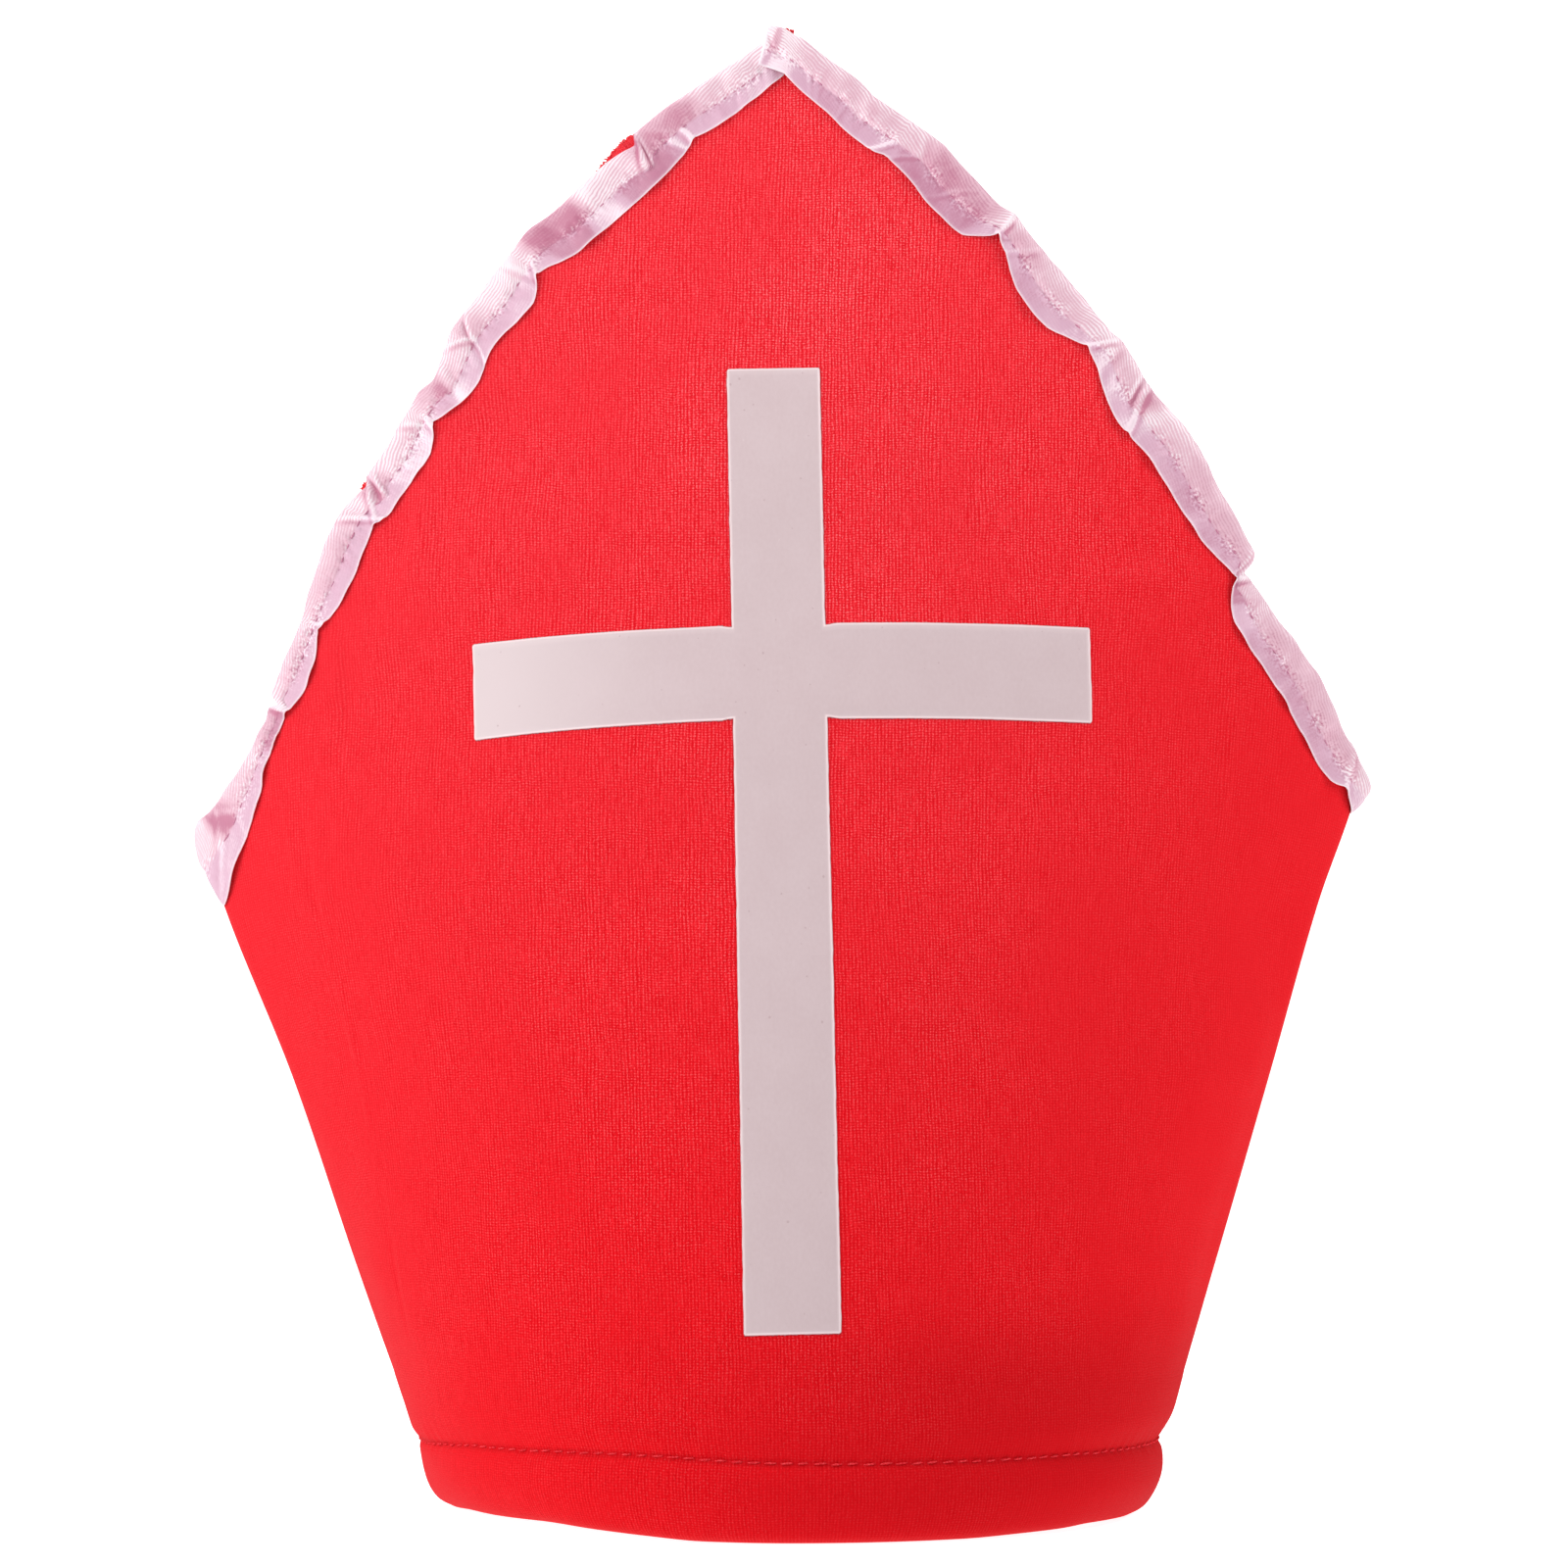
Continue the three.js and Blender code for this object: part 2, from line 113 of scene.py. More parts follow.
# The right ribbon's end is folded under and lies on the left one, just past the point.
LAP_TOP = np.array([-4.0, 363.0])
LAP_FOOT = np.array([-6.2, 354.6])
LAP_WIDTH = 5.0
LAP_LIFT = 1.25
LAP_FADE = 9.0
LAP_DIMPLE = (-1.1, 4.2, 1.0, 1.2)  # along the edge, below it, depth and size

# How far the ribbon puffs out at the shoulder, and sinks at the seam.
SHOULDER_PUFF = {LEFT: (1.6, 0.3), RIGHT: (1.9, 0.6)}

# The ribbons' tables go along the edge from the point, and end past the shoulder.
SELVEDGES = {  # along the edge, distance below the cut edge
    (LEFT, FRONT): [
        [0, 7], [8, 8.2], [17, 8.9], [23, 9.2], [28, 8.9], [32, 8.1], [37, 10], [42, 10.9], [48, 11.6],
        [62, 11.4], [72, 10.7], [78, 9], [82, 7], [85, 6], [88.5, 9], [92, 10.2], [97, 9.8], [102, 8.9],
        [107, 8.5], [111, 9.3], [116, 10.3], [121, 9.9], [126, 8], [130, 5.7], [134, 8.3], [138, 9.1],
        [144, 8.5], [150, 7.7], [154, 7.4], [157, 6.4], [159, 4.9], [165, 5.3], [172, 6], [178, 6],
        [183, 5.2], [188, 3.6], [192, 5.2], [197, 6.6], [202, 7], [206, 6.6], [210, 5.2], [215, 5.6],
        [222, 6.1], [229, 8], [236, 9.4], [242, 11.3], [246, 12.6], [250, 13],
    ],
    (RIGHT, FRONT): [
        [0, 7], [6, 7.8], [12, 8.3], [17, 8.7], [22, 9.3], [28, 9.9], [33, 9.9], [37, 8.7], [42, 9],
        [48, 9.9], [54, 10.9], [61, 11.2], [65, 10.8], [68, 8.6], [71.5, 4.5], [76, 6.2], [81, 8.7],
        [86, 10.4], [92, 11.1], [97, 10.6], [102, 8.2], [107, 5.5], [112, 6.3], [117, 8.2], [122, 9.6],
        [127, 10.4], [131, 9.7], [136, 8.8], [144, 8.4], [154, 8.2], [162, 7.7], [168, 6.3], [173, 5],
        [174.5, 4.9], [177, 7.4], [181, 9.5], [185, 10.5], [191, 10], [197, 9.2], [205, 8.4], [214, 8],
        [222, 7.7], [226, 7], [229, 4.4], [232, 4.8], [236, 4.9],
    ],
}
PINCHES = {  # along the edge, where the selvedge turns sharply
    (LEFT, FRONT): [32, 85, 130, 159, 188, 210],
    (RIGHT, FRONT): [37, 71.5, 107, 174.5, 229],
}
RISES = {  # along the edge, how far the cut edge stands out of a smooth curve
    (LEFT, FRONT): [
        [0, 1], [3, 1.2], [6, 0.9], [12, 0.3], [22, 0.2], [32, 0.4], [41, 0.3], [43, 0], [45, -2.3],
        [49, -1.5], [54, -0.9], [62, -0.9], [67, -0.8], [72, -0.3], [77, 0.7], [82, 0.9], [88, 0.5],
        [97, 0.5], [107, 0.7], [112, -0.1], [117, -1.2], [121, -2.1], [126, -0.5], [136, -0.5],
        [142, -0.4], [146, 0.3], [149, 0.7], [151.5, -0.6], [154, 0.6], [157, 1.8], [161, 2.6], [166, 2.5],
        [174, 1.8], [180, 1.2], [186, 0], [192, -0.6], [200, -0.8], [205, -1], [207, -1.5], [208.5, -4],
        [210.5, -2.2], [213.5, -2.8], [219, -2.6], [226, -2.2], [234, -1], [240, 0.3], [245, 1.9],
        [249, 2.9],
    ],
    (RIGHT, FRONT): [
        [0, 1], [2.5, 1.1], [5, 1.5], [9, 1], [14, 0.8], [21, 0.7], [26, -0.3], [31, 0], [41, 0.8],
        [46, 1.1], [51, 0.3], [60, -0.3], [66, -0.5], [71, 0.6], [76, -0.1], [86, -0.5], [100, -0.4],
        [107, -0.1], [111, 0.9], [116, 0.4], [125, -0.2], [131, 0.9], [140, 2], [145, 1.9], [154, 1.2],
        [165, 1], [171, 1], [173, -0.5], [174.5, -3.9], [180, -2.9], [185, -2.2], [190, -1.6], [195, -0.4],
        [200, 0.3], [205, 0.9], [220, 0.8], [235, 0.8],
    ],
}
CREASES = {  # along the edge at the stitches, slant, height or depth, half width, and part:
    # -1 past the stitches only, 1 on the flap only, 0 both
    (LEFT, FRONT): [
        [33.5, -0.35, 0.7, 0.9, 1], [37.5, -0.2, 0.35, 0.9, 1], [45.4, 0.45, -0.5, 0.7, -1],
        [47, 0.45, 1.3, 0.8, -1], [64, 0.3, 0.25, 3, 0], [83.5, 0.6, 0.6, 0.8, 1],
        [86.5, -0.3, 0.35, 0.9, 0], [107, -0.9, 0.6, 0.7, -1], [108.5, 0.4, -0.5, 0.6, 0],
        [120, 0.3, 0.3, 2, 0], [130, 0.6, 0.6, 0.8, 1], [132, -0.5, 0.4, 0.8, -1],
        [151.2, 0.9, 0.5, 0.6, -1], [153.2, 0.9, -1, 0.8, -1], [155.4, 0.8, 0.5, 0.7, 0],
        [159, -0.4, 0.5, 0.8, 0], [187.5, -0.8, 0.6, 0.7, 1], [209, 0, 0.8, 0.8, 0],
        [237.5, -0.3, -0.3, 1.4, -1], [242, 0.4, 0.25, 1, 0],
    ],
    (RIGHT, FRONT): [
        [-3.3, 0.25, -0.35, 0.6, -1], [37, -0.5, 0.5, 0.8, 1], [43, -1.3, 0.3, 0.9, 1],
        [46, 0.3, -0.2, 1.2, -1], [70, 0.9, 0.4, 0.7, 1], [71.5, 0, 0.8, 0.7, 0],
        [73.5, -0.7, 0.5, 0.7, 1], [78, -0.8, 0.25, 1, 0], [108, -0.6, 0.6, 0.9, 0],
        [112, 0.5, 0.25, 1.5, 0], [125, 0.7, -0.9, 0.8, -1], [127.2, 0.75, 0.8, 0.9, 0],
        [173, 0.5, 0.4, 0.7, 0], [175, -0.2, 0.8, 0.7, 0], [228, 0.6, 0.4, 0.9, 0],
    ],
}
PAINTED_SHEENS = {  # along the edge, painted sheen and shade of the band past the stitches and of the flap: -1 mauve painted shade, 1 pale painted sheen
    (LEFT, FRONT): [
        [0, 0.6, 0.5], [12, 0.5, 0.4], [24, 0.1, -0.1], [30, -0.7, 0.1], [36, -0.7, 0.6], [42, -0.7, -1.1],
        [48, 0.4, -1.1], [55, 0.7, -0.7], [61, 0.6, 0.9], [65, -0.6, 0.4], [71, -1.2, -0.8],
        [78, -1.1, -0.8], [82, 0.3, 0.1], [88, 0.8, 0.4], [96, 0.6, 0.3], [105, 0, -0.2], [110, 0.6, 0.4],
        [116, 0.1, 0.3], [122, -0.5, 0.7], [127, 0, -0.2], [132, 0.5, 0.8], [144, 0.4, 0.8],
        [151, -0.3, 0.3], [156, 0.5, 0.3], [164, 0, -0.2], [178, -0.1, -0.1], [188, 0.1, 0.4],
        [200, 0, -0.1], [208, 0.5, 0.3], [211, -0.6, -1], [218, -0.2, -1.1], [222, 0.2, 0.2],
        [232, 0.2, 0.2], [236, -1, 0.3], [239.5, -0.9, 0.4], [242.5, 0.6, 0.4], [246, 0.4, 0.2],
        [250, 0.3, 0.1],
    ],
    (RIGHT, FRONT): [
        [-5, 1, 1], [-4.2, 0.8, 0.8], [-3.4, -0.4, -0.2], [-2.4, -0.3, 0.6], [-1, 0.9, 1.2], [1.5, 0.8, 1],
        [4, 0.4, 0.3], [6, 0.3, 0.2], [14, 0.1, -0.4], [28, 0.2, -0.3], [36, 0.3, 0.4], [41, 0.2, -0.6],
        [48, -0.6, -0.8], [64, -0.7, -0.8], [70, 0.5, 0.4], [76, -0.3, 0.3], [84, 0, -0.5], [96, 0.1, 0],
        [107, 0.5, 0.5], [114, 0.2, 0.6], [121, 0, 0.5], [125, -0.7, 0.1], [130, 0.7, 0.6],
        [137, 0.2, -0.1], [150, -0.1, -0.5], [170, -0.3, -0.5], [174, 0.3, -0.2], [176, 0.2, -1.3],
        [180, 0, -1.2], [182, 0.1, 0.2], [186, 0, -0.1], [200, -0.2, -0.5], [224, -0.3, -0.4],
        [231, 0.5, 0.5],
    ],
}
BACK_SELVEDGE = [
    [0, 7], [12, 8.6], [24, 9.5], [38, 10.6], [50, 9], [58, 6.1], [68, 8.8], [80, 9.6], [94, 10.1],
    [104, 8.7], [112, 5.9], [122, 8.3], [134, 9.1], [148, 8.5], [160, 7.3], [168, 6.1], [178, 8.3],
    [190, 8.9], [202, 8.6], [213, 8],
]
BACK_SHOULDERS = {
    LEFT: [[224, 7.6], [234, 8], [242, 9.8], [250, 12.6]],
    RIGHT: [[222, 7.4], [229, 6.2], [236, 4.9]],
}
BACK_PINCHES = [58, 112, 168]
BACK_RISE = [
    [0, 1], [6, 0.8], [14, 0.3], [24, 0.4], [38, -0.3], [50, -0.2], [58, 0.2], [80, 0.5], [94, -0.4],
    [112, 0], [134, 0.8], [148, 0.6], [160, 0.2], [168, -1], [178, -0.6], [190, -0.2], [202, 0.4],
    [224, 0.4], [235, 1],
]
BACK_CREASES = [
    [20, 0.4, 0.4, 1.2, 0], [44, -0.5, 0.4, 1.5, -1], [57, 0.6, 0.7, 0.9, 0], [59.5, -0.4, 0.5, 0.8, 1],
    [88, 0.5, -0.5, 1, -1], [111, 0.5, 0.7, 0.8, 0], [113.5, -0.6, 0.4, 0.9, 1], [140, 0.7, 0.3, 1.4, 0],
    [167, 0.4, 0.7, 0.8, 0], [170, -0.5, 0.4, 0.9, 1], [205, 0.6, -0.4, 1.2, -1],
]
BACK_PAINTED_SHEEN = [
    [0, 0.6, 0.4], [14, 0.2, -0.3], [30, -0.6, -0.2], [46, 0.5, 0.3], [57, 0.4, 0.6], [66, -0.5, -0.6],
    [84, 0.4, 0.2], [100, -0.4, -0.4], [113, 0.6, 0.5], [130, -0.1, -0.4], [150, 0.3, -0.1],
    [167, 0.5, 0.5], [180, -0.5, -0.5], [205, 0.1, -0.2], [235, 0.4, 0.3],
]
for side in (LEFT, RIGHT):
    SELVEDGES[(side, BACK)] = BACK_SELVEDGE + BACK_SHOULDERS[side]
    PINCHES[(side, BACK)] = BACK_PINCHES
    RISES[(side, BACK)] = BACK_RISE
    CREASES[(side, BACK)] = BACK_CREASES
    PAINTED_SHEENS[(side, BACK)] = BACK_PAINTED_SHEEN

# The printed cross: the ends of its middle line, half its width, and its arms.
PRINT_LIFT = 0.30
CROSS_FOOT = np.array([2.0, 47.8])
CROSS_HEAD = np.array([-2.6, 278.2])
CROSS_HALF = 11.3
CROSS_ARM_AT = 155.8
CROSS_ARMS = {LEFT: 73.7, RIGHT: 75.1}
CROSS_DROOPS = {LEFT: 2.8, RIGHT: 1.4}
CROSS_ARM_SPREAD = 0.035
CROSS_ROUND = 0.7


# Shapes of the body

def section_at(z):
    """Middle, left, right, depth and half turn of the level sections at heights z, by a smooth curve."""
    z = np.maximum(np.asarray(z, float), SECTIONS[0, 0])
    last = len(SECTIONS) - 1
    i = np.clip(np.searchsorted(SECTIONS[:, 0], z, side="right") - 1, 0, last - 1)
    a, b = SECTIONS[i], SECTIONS[i + 1]
    before, after = SECTIONS[np.maximum(i - 1, 0)], SECTIONS[np.minimum(i + 2, last)]
    step = (b - a)[..., :1]
    t = (z[..., None] - a[..., :1]) / step
    slope_a = (b - before) / (b - before)[..., :1] * step
    slope_b = (after - a) / (after - a)[..., :1] * step
    _, middle, left, right, depth = np.moveaxis(cubic(t, a, b - a, slope_a, slope_b), -1, 0)
    return middle, left, right, depth, 2 * np.arctan2(depth, (left + right) / 2)


def cubic(t, start, rise, slope_in, slope_out):
    """The smooth curve that rises from start with the given slopes at t = 0 and 1."""
    return (start + t * slope_in + t**2 * (3 * rise - 2 * slope_in - slope_out)
            + t**3 * (slope_in + slope_out - 2 * rise))


def body_point(across, z, out=0.0):
    """Points of the front panel. across is -1 at the left seam and 1 at the right one."""
    across, z, out = np.broadcast_arrays(np.asarray(across, float), z, out)
    middle, left, right, depth, turn = section_at(z)
    reach = np.where(across < 0, left, right) + out / np.sin(turn)
    bulge = (np.cos(turn * across) - np.cos(turn)) / (1 - np.cos(turn))
    x = middle + reach * np.sin(turn * across) / np.sin(turn)
    return np.stack([x, -(depth + out) * bulge - SEAM_GAP / 2, z], -1)


def across_at(x, z):
    """Where across the panel the points x, z of the front view lie."""
    middle, left, right, _, turn = section_at(z)
    half = np.where(x < middle, left, right)
    sine = np.clip((x - middle) / half * np.sin(turn), -np.sin(turn), np.sin(turn))
    return np.arcsin(sine) / turn


def unit(v):
    return v / np.maximum(np.linalg.norm(v, axis=-1, keepdims=True), 1e-12)


def face_normal(across, z):
    step = 0.002
    sideways = body_point(across + step, z) - body_point(across - step, z)
    upwards = body_point(across, z + step) - body_point(across, z - step)
    return unit(np.cross(sideways, upwards))


def face_at(place):
    """Points of the outer face behind places of the front view, with the way that the face looks."""
    x, z = place[..., 0], place[..., 1]
    across = across_at(x, z)
    return body_point(across, z), face_normal(across, z)


def arc_length(across, z):
    """Distance round the panel from its middle."""
    _, left, right, _, turn = section_at(z)
    return across * turn * ((left + right) / 2) / np.sin(turn)


def running_length(points):
    """Distance along each line of points from its first."""
    steps = np.linalg.norm(np.diff(points, axis=-2), axis=-1)
    return np.concatenate([np.zeros((*steps.shape[:-1], 1)), np.cumsum(steps, axis=-1)], -1)


def hill(x, width=1.0):
    """1 at 0, falling off smoothly within about width."""
    return np.exp(-((x / width) ** 2))


def smooth_step(t):
    t = np.clip(t, 0.0, 1.0)
    return t * t * (3 - 2 * t)


def ripple(u, v, seed, size, tilt=1.0, waves=7):
    """A smooth random relief about 1 high, with bumps about size wide. tilt stretches it along v."""
    draw = np.random.default_rng(seed)
    total = np.zeros(np.broadcast(u, v).shape)
    for _ in range(waves):
        angle = draw.uniform(0, math.tau)
        rate = math.tau / size * draw.uniform(0.6, 1.5)
        phase = draw.uniform(0, math.tau)
        total += np.sin(rate * (u * math.cos(angle) + v * math.sin(angle) / tilt) + phase)
    return total * math.sqrt(2 / waves)


def through(points, count):
    """count points on a smooth curve through the given ones."""
    points = np.asarray(points, float)
    ends = np.vstack([2 * points[0] - points[1], points, 2 * points[-1] - points[-2]])
    at = np.linspace(0, len(points) - 1 - 1e-9, count)
    i = at.astype(int)
    t = (at - i)[:, None]
    a, b, c, d = ends[i], ends[i + 1], ends[i + 2], ends[i + 3]
    return 0.5 * (2 * b + (c - a) * t + (2 * a - 5 * b + 4 * c - d) * t**2 + (3 * b - a - 3 * c + d) * t**3)


class Curve:
    """A smooth curve through a table's rows, without overshoot, with a sharp turn at each cusp."""

    def __init__(self, rows, cusps=()):
        self.x, self.y = np.asarray(rows, float)[:, :2].T
        sharp = np.isin(self.x, cusps)
        secant = np.diff(self.y) / np.diff(self.x)
        before = np.concatenate([secant[:1], secant])
        after = np.concatenate([secant, secant[-1:]])
        same = before * after > 0
        mean = np.where(same, 2 * before * after / np.where(same, before + after, 1), 0)
        self.arriving = np.where(sharp, 1.3 * before, mean)
        self.leaving = np.where(sharp, 1.3 * after, mean)

    def __call__(self, x):
        x = np.clip(x, self.x[0], self.x[-1])
        i = np.clip(np.searchsorted(self.x, x, side="right") - 1, 0, len(self.x) - 2)
        step = self.x[i + 1] - self.x[i]
        rise = self.y[i + 1] - self.y[i]
        t = (x - self.x[i]) / step
        return cubic(t, self.y[i], rise, self.leaving[i] * step, self.arriving[i + 1] * step)


class Edge:
    """A slanted cut edge of a panel, in the front view, from the point down to the shoulder."""

    def __init__(self, side, facing):
        self.side, self.facing = side, facing
        shoulder = body_point(float(side), SHOULDER[side])[::2]
        foot = body_point(float(side), SHOULDER[side] - RIBBON_INSIDE)[::2]
        self.seam_way = unit(foot - shoulder)
        knots = np.array([PEAK, *EDGE_PULLS[side], shoulder])
        t = np.linspace(0, 1, 1201)[:, None]
        weights = np.hstack([(1 - t) ** 3, 3 * t * (1 - t) ** 2, 3 * t**2 * (1 - t), t**3])
        self.line = weights @ knots
        self.run = running_length(self.line)
        self.length = self.run[-1]
        self.cusps = np.array(PINCHES[(side, facing)], float)
        self.drop = Curve(SELVEDGES[(side, facing)], self.cusps)
        self.rise = Curve(RISES[(side, facing)])
        painted_sheen_rows = np.array(PAINTED_SHEENS[(side, facing)])
        self.band_tone, self.flap_painted_sheen = Curve(painted_sheen_rows), Curve(painted_sheen_rows[:, ::2])

    def place(self, s):
        """Points of the smooth edge."""
        return np.stack([np.interp(s, self.run, self.line[:, k]) for k in (0, 1)], -1)

    def at(self, s):
        """Points of the smooth edge, and the way into the panel at a right angle to it."""
        along = unit(self.place(np.minimum(s + 1, self.length)) - self.place(np.maximum(s - 1, 0)))
        return self.place(s), np.stack([along[..., 1], -along[..., 0]], -1) * self.side

    def sections(self, s):
        """Tops and ways of the ribbon's sections, mitred at the point and turned into the side seam."""
        point, inward = self.at(s)
        mitre = np.maximum(0, 1 - s / MITRE_RUN)[:, None]
        seam = np.maximum(0, 1 - (self.length - s) / SHOULDER_RUN)[:, None]
        down = inward + (np.array([0.0, -1.0]) - inward) * mitre
        down = unit(down + (self.seam_way - down) * seam)
        way = down / (down * inward).sum(-1, keepdims=True)
        return point - way * self.rise(s)[:, None], way, seam[:, 0]

    def low_top(self, s, reach=3.0):
        """The panel's cut edge, which stays under the ribbon at every notch."""
        low = np.min([self.rise(s + shift) for shift in np.linspace(-reach, reach, 13)], axis=0)
        point, inward = self.at(s)
        return point - inward * low[:, None]

    def swell(self, s):
        """0 at a pinch and 1 halfway between two."""
        marks = np.concatenate([[0], self.cusps, [self.length]])
        i = np.clip(np.searchsorted(marks, s, side="right") - 1, 0, len(marks) - 2)
        t = (s - marks[i]) / (marks[i + 1] - marks[i])
        return np.sin(np.pi * np.clip(t, 0, 1)) ** 0.7

    def leg(self, s):
        """How far the ribbon reaches below the cut edge."""
        return self.drop(s) + self.rise(s)

    def stitch_drop(self, s, reach=7.0):
        """How far below the cut edge the row of stitches runs."""
        even = np.mean([self.leg(s + shift) for shift in np.linspace(-reach, reach, 15)], axis=0)
        wanted = STITCH_SHARE * (even + RIBBON_TOP) - RIBBON_TOP
        return np.minimum(wanted, self.leg(s) - STITCH_MARGIN)


EDGES = {(side, facing): Edge(side, facing) for side in (LEFT, RIGHT) for facing in (FRONT, BACK)}


# Making meshes

def add_object(name, points, faces, uv=None):
    """A mesh object from points in millimetres. uv has a pair for each point, in millimetres of cloth."""
    mesh = bpy.data.meshes.new(name)
    mesh.from_pydata((np.asarray(points) * MM).tolist(), [], [list(map(int, f)) for f in faces])
    if uv is not None:
        layer = mesh.uv_layers.new(name="cloth")
        corner = np.empty(len(mesh.loops), np.int32)
        mesh.loops.foreach_get("vertex_index", corner)
        layer.data.foreach_set("uv", np.asarray(uv, np.float32)[corner].ravel())
    mesh.polygons.foreach_set("use_smooth", [True] * len(mesh.polygons))
    mesh.update()
    piece = bpy.data.objects.new(name, mesh)
    bpy.context.collection.objects.link(piece)
    return piece


def grid_faces(rows, columns, close_columns=False):
    """Quads of a grid whose points are numbered row by row."""
    r = np.arange(rows - 1)[:, None]
    c = np.arange(columns if close_columns else columns - 1)[None, :]
    n = (c + 1) % columns
    quads = np.stack([r * columns + c, r * columns + n, (r + 1) * columns + n, (r + 1) * columns + c], -1)
    return quads.reshape(-1, 4)


def tube_faces(rings, sides, first):
    """Faces of a closed tube whose points are numbered ring by ring from first."""
    last = first + (rings - 1) * sides
    around = [tuple(quad + first) for quad in grid_faces(rings, sides, close_columns=True)]
    return [*around, tuple(range(first + sides - 1, first - 1, -1)), tuple(range(last, last + sides))]


def outward(points, faces):
    """The faces, turned round if they look into the closed body."""
    points = np.asarray(points)
    fans = np.array([(f[0], f[k], f[k + 1]) for f in faces for k in range(1, len(f) - 1)])
    a, b, c = (points[fans[:, k]] for k in range(3))
    return faces if (a * np.cross(b, c)).sum() > 0 else [tuple(reversed(f)) for f in faces]


def add_value(piece, name, values):
    """A number for each point of a piece, for its material."""
    layer = piece.data.attributes.new(name, "FLOAT", "POINT")
    layer.data.foreach_set("value", np.asarray(values, np.float32))


def sharpen(piece, *lines):
    """Marks edges that lie in one of the given sets of points as sharp, so that shading stops at them."""
    mesh = piece.data
    ends = np.empty(2 * len(mesh.edges), np.int32)
    mesh.edges.foreach_get("vertices", ends)
    sharp = np.any([line[ends.reshape(-1, 2)].all(axis=1) for line in lines], axis=0)
    mesh.attributes.new("sharp_edge", "BOOLEAN", "EDGE").data.foreach_set("value", sharp)


# Panels

PANEL_COLUMNS = 240
PANEL_CROWDING = 1.35  # draws the columns together towards the seams
OUTER_ROWS, INNER_ROWS = 130, 46
HEM_OUTSIDE_ROWS, HEM_INSIDE_ROWS = 34, 26


def panel_relief(u, z, seed):
    """Slight unevenness of the foam-backed cloth, and the pull of the hem's stitches."""
    slack = 0.35 * ripple(u, z, seed, 70) + 0.12 * ripple(u, z, seed + 1, 22)
    tug = np.sin(u * math.tau / HEM_STITCH_PITCH + 0.9 * ripple(u, 0 * u, seed + 2, 18))
    tug = 0.10 * tug + 0.07 * ripple(u, z, seed + 3, 9, 3)
    return slack * above_hem(z) + hill(z - HEM_STITCH_Z - 1.0, 3.2) * tug


def above_hem(z):
    """0 at the hem and 1 on the free cloth above it."""
    return smooth_step((z - 20) / 30)


def hem_lift(u, z, facing):
    """How far the hem is drawn up off the floor."""
    foot = Curve(HEM_FOOT_LIFT[facing])(u)
    stitch = Curve(HEM_STITCH_LIFT)(u) if facing == FRONT else 0 * z
    low = foot + (stitch - foot) * smooth_step(z / HEM_STITCH_Z)
    return low * (1 - smooth_step((z - HEM_STITCH_Z) / HEM_LIFT_FADE))


def hem_ease(u, z):
    """The cloth's ease near the left seam: further out in the hem's crease, and further in at its roll."""
    crease, roll = HEM_EASE
    return smooth_step((-u - 95) / 30) * (crease * hill(z - 20, 3.5) - roll * hill(z - 10, 5.0))


def pinch_folds(x, z, facing, length=15.0):
    """Soft folds in the cloth that run into the panel from the ribbon's pinches."""
    total = 0 * x
    draw = np.random.default_rng(SEEDS["folds"])
    for side in (LEFT, RIGHT):
        edge = EDGES[(side, facing)]
        for s in edge.cusps:
            (point,), (inward,) = edge.at(np.array([s]))
            start = point + inward * edge.drop(s)
            for turn, height in ((draw.uniform(-0.9, -0.3), 0.3), (draw.uniform(0.1, 0.7), -0.35)):
                way = inward * math.cos(turn) + np.array([-inward[1], inward[0]]) * math.sin(turn)
                run = (x - start[0]) * way[0] + (z - start[1]) * way[1]
                off = (x - start[0]) * way[1] - (z - start[1]) * way[0]
                spread = 1.8 + 0.12 * np.maximum(run, 0)
                total += height * hill(off, spread) * hill(run, length) * smooth_step(run / 5)
    return total


def panel_top(facing, across):
    """Heights of the panel's cut edge."""
    left, right = (EDGES[(side, facing)] for side in (LEFT, RIGHT))
    line = np.vstack([left.low_top(np.linspace(0, left.length, 900))[::-1],
                      right.low_top(np.linspace(0, right.length, 900))[1:]])
    return np.interp(across, np.maximum.accumulate(across_at(*line.T)), line[:, 1])


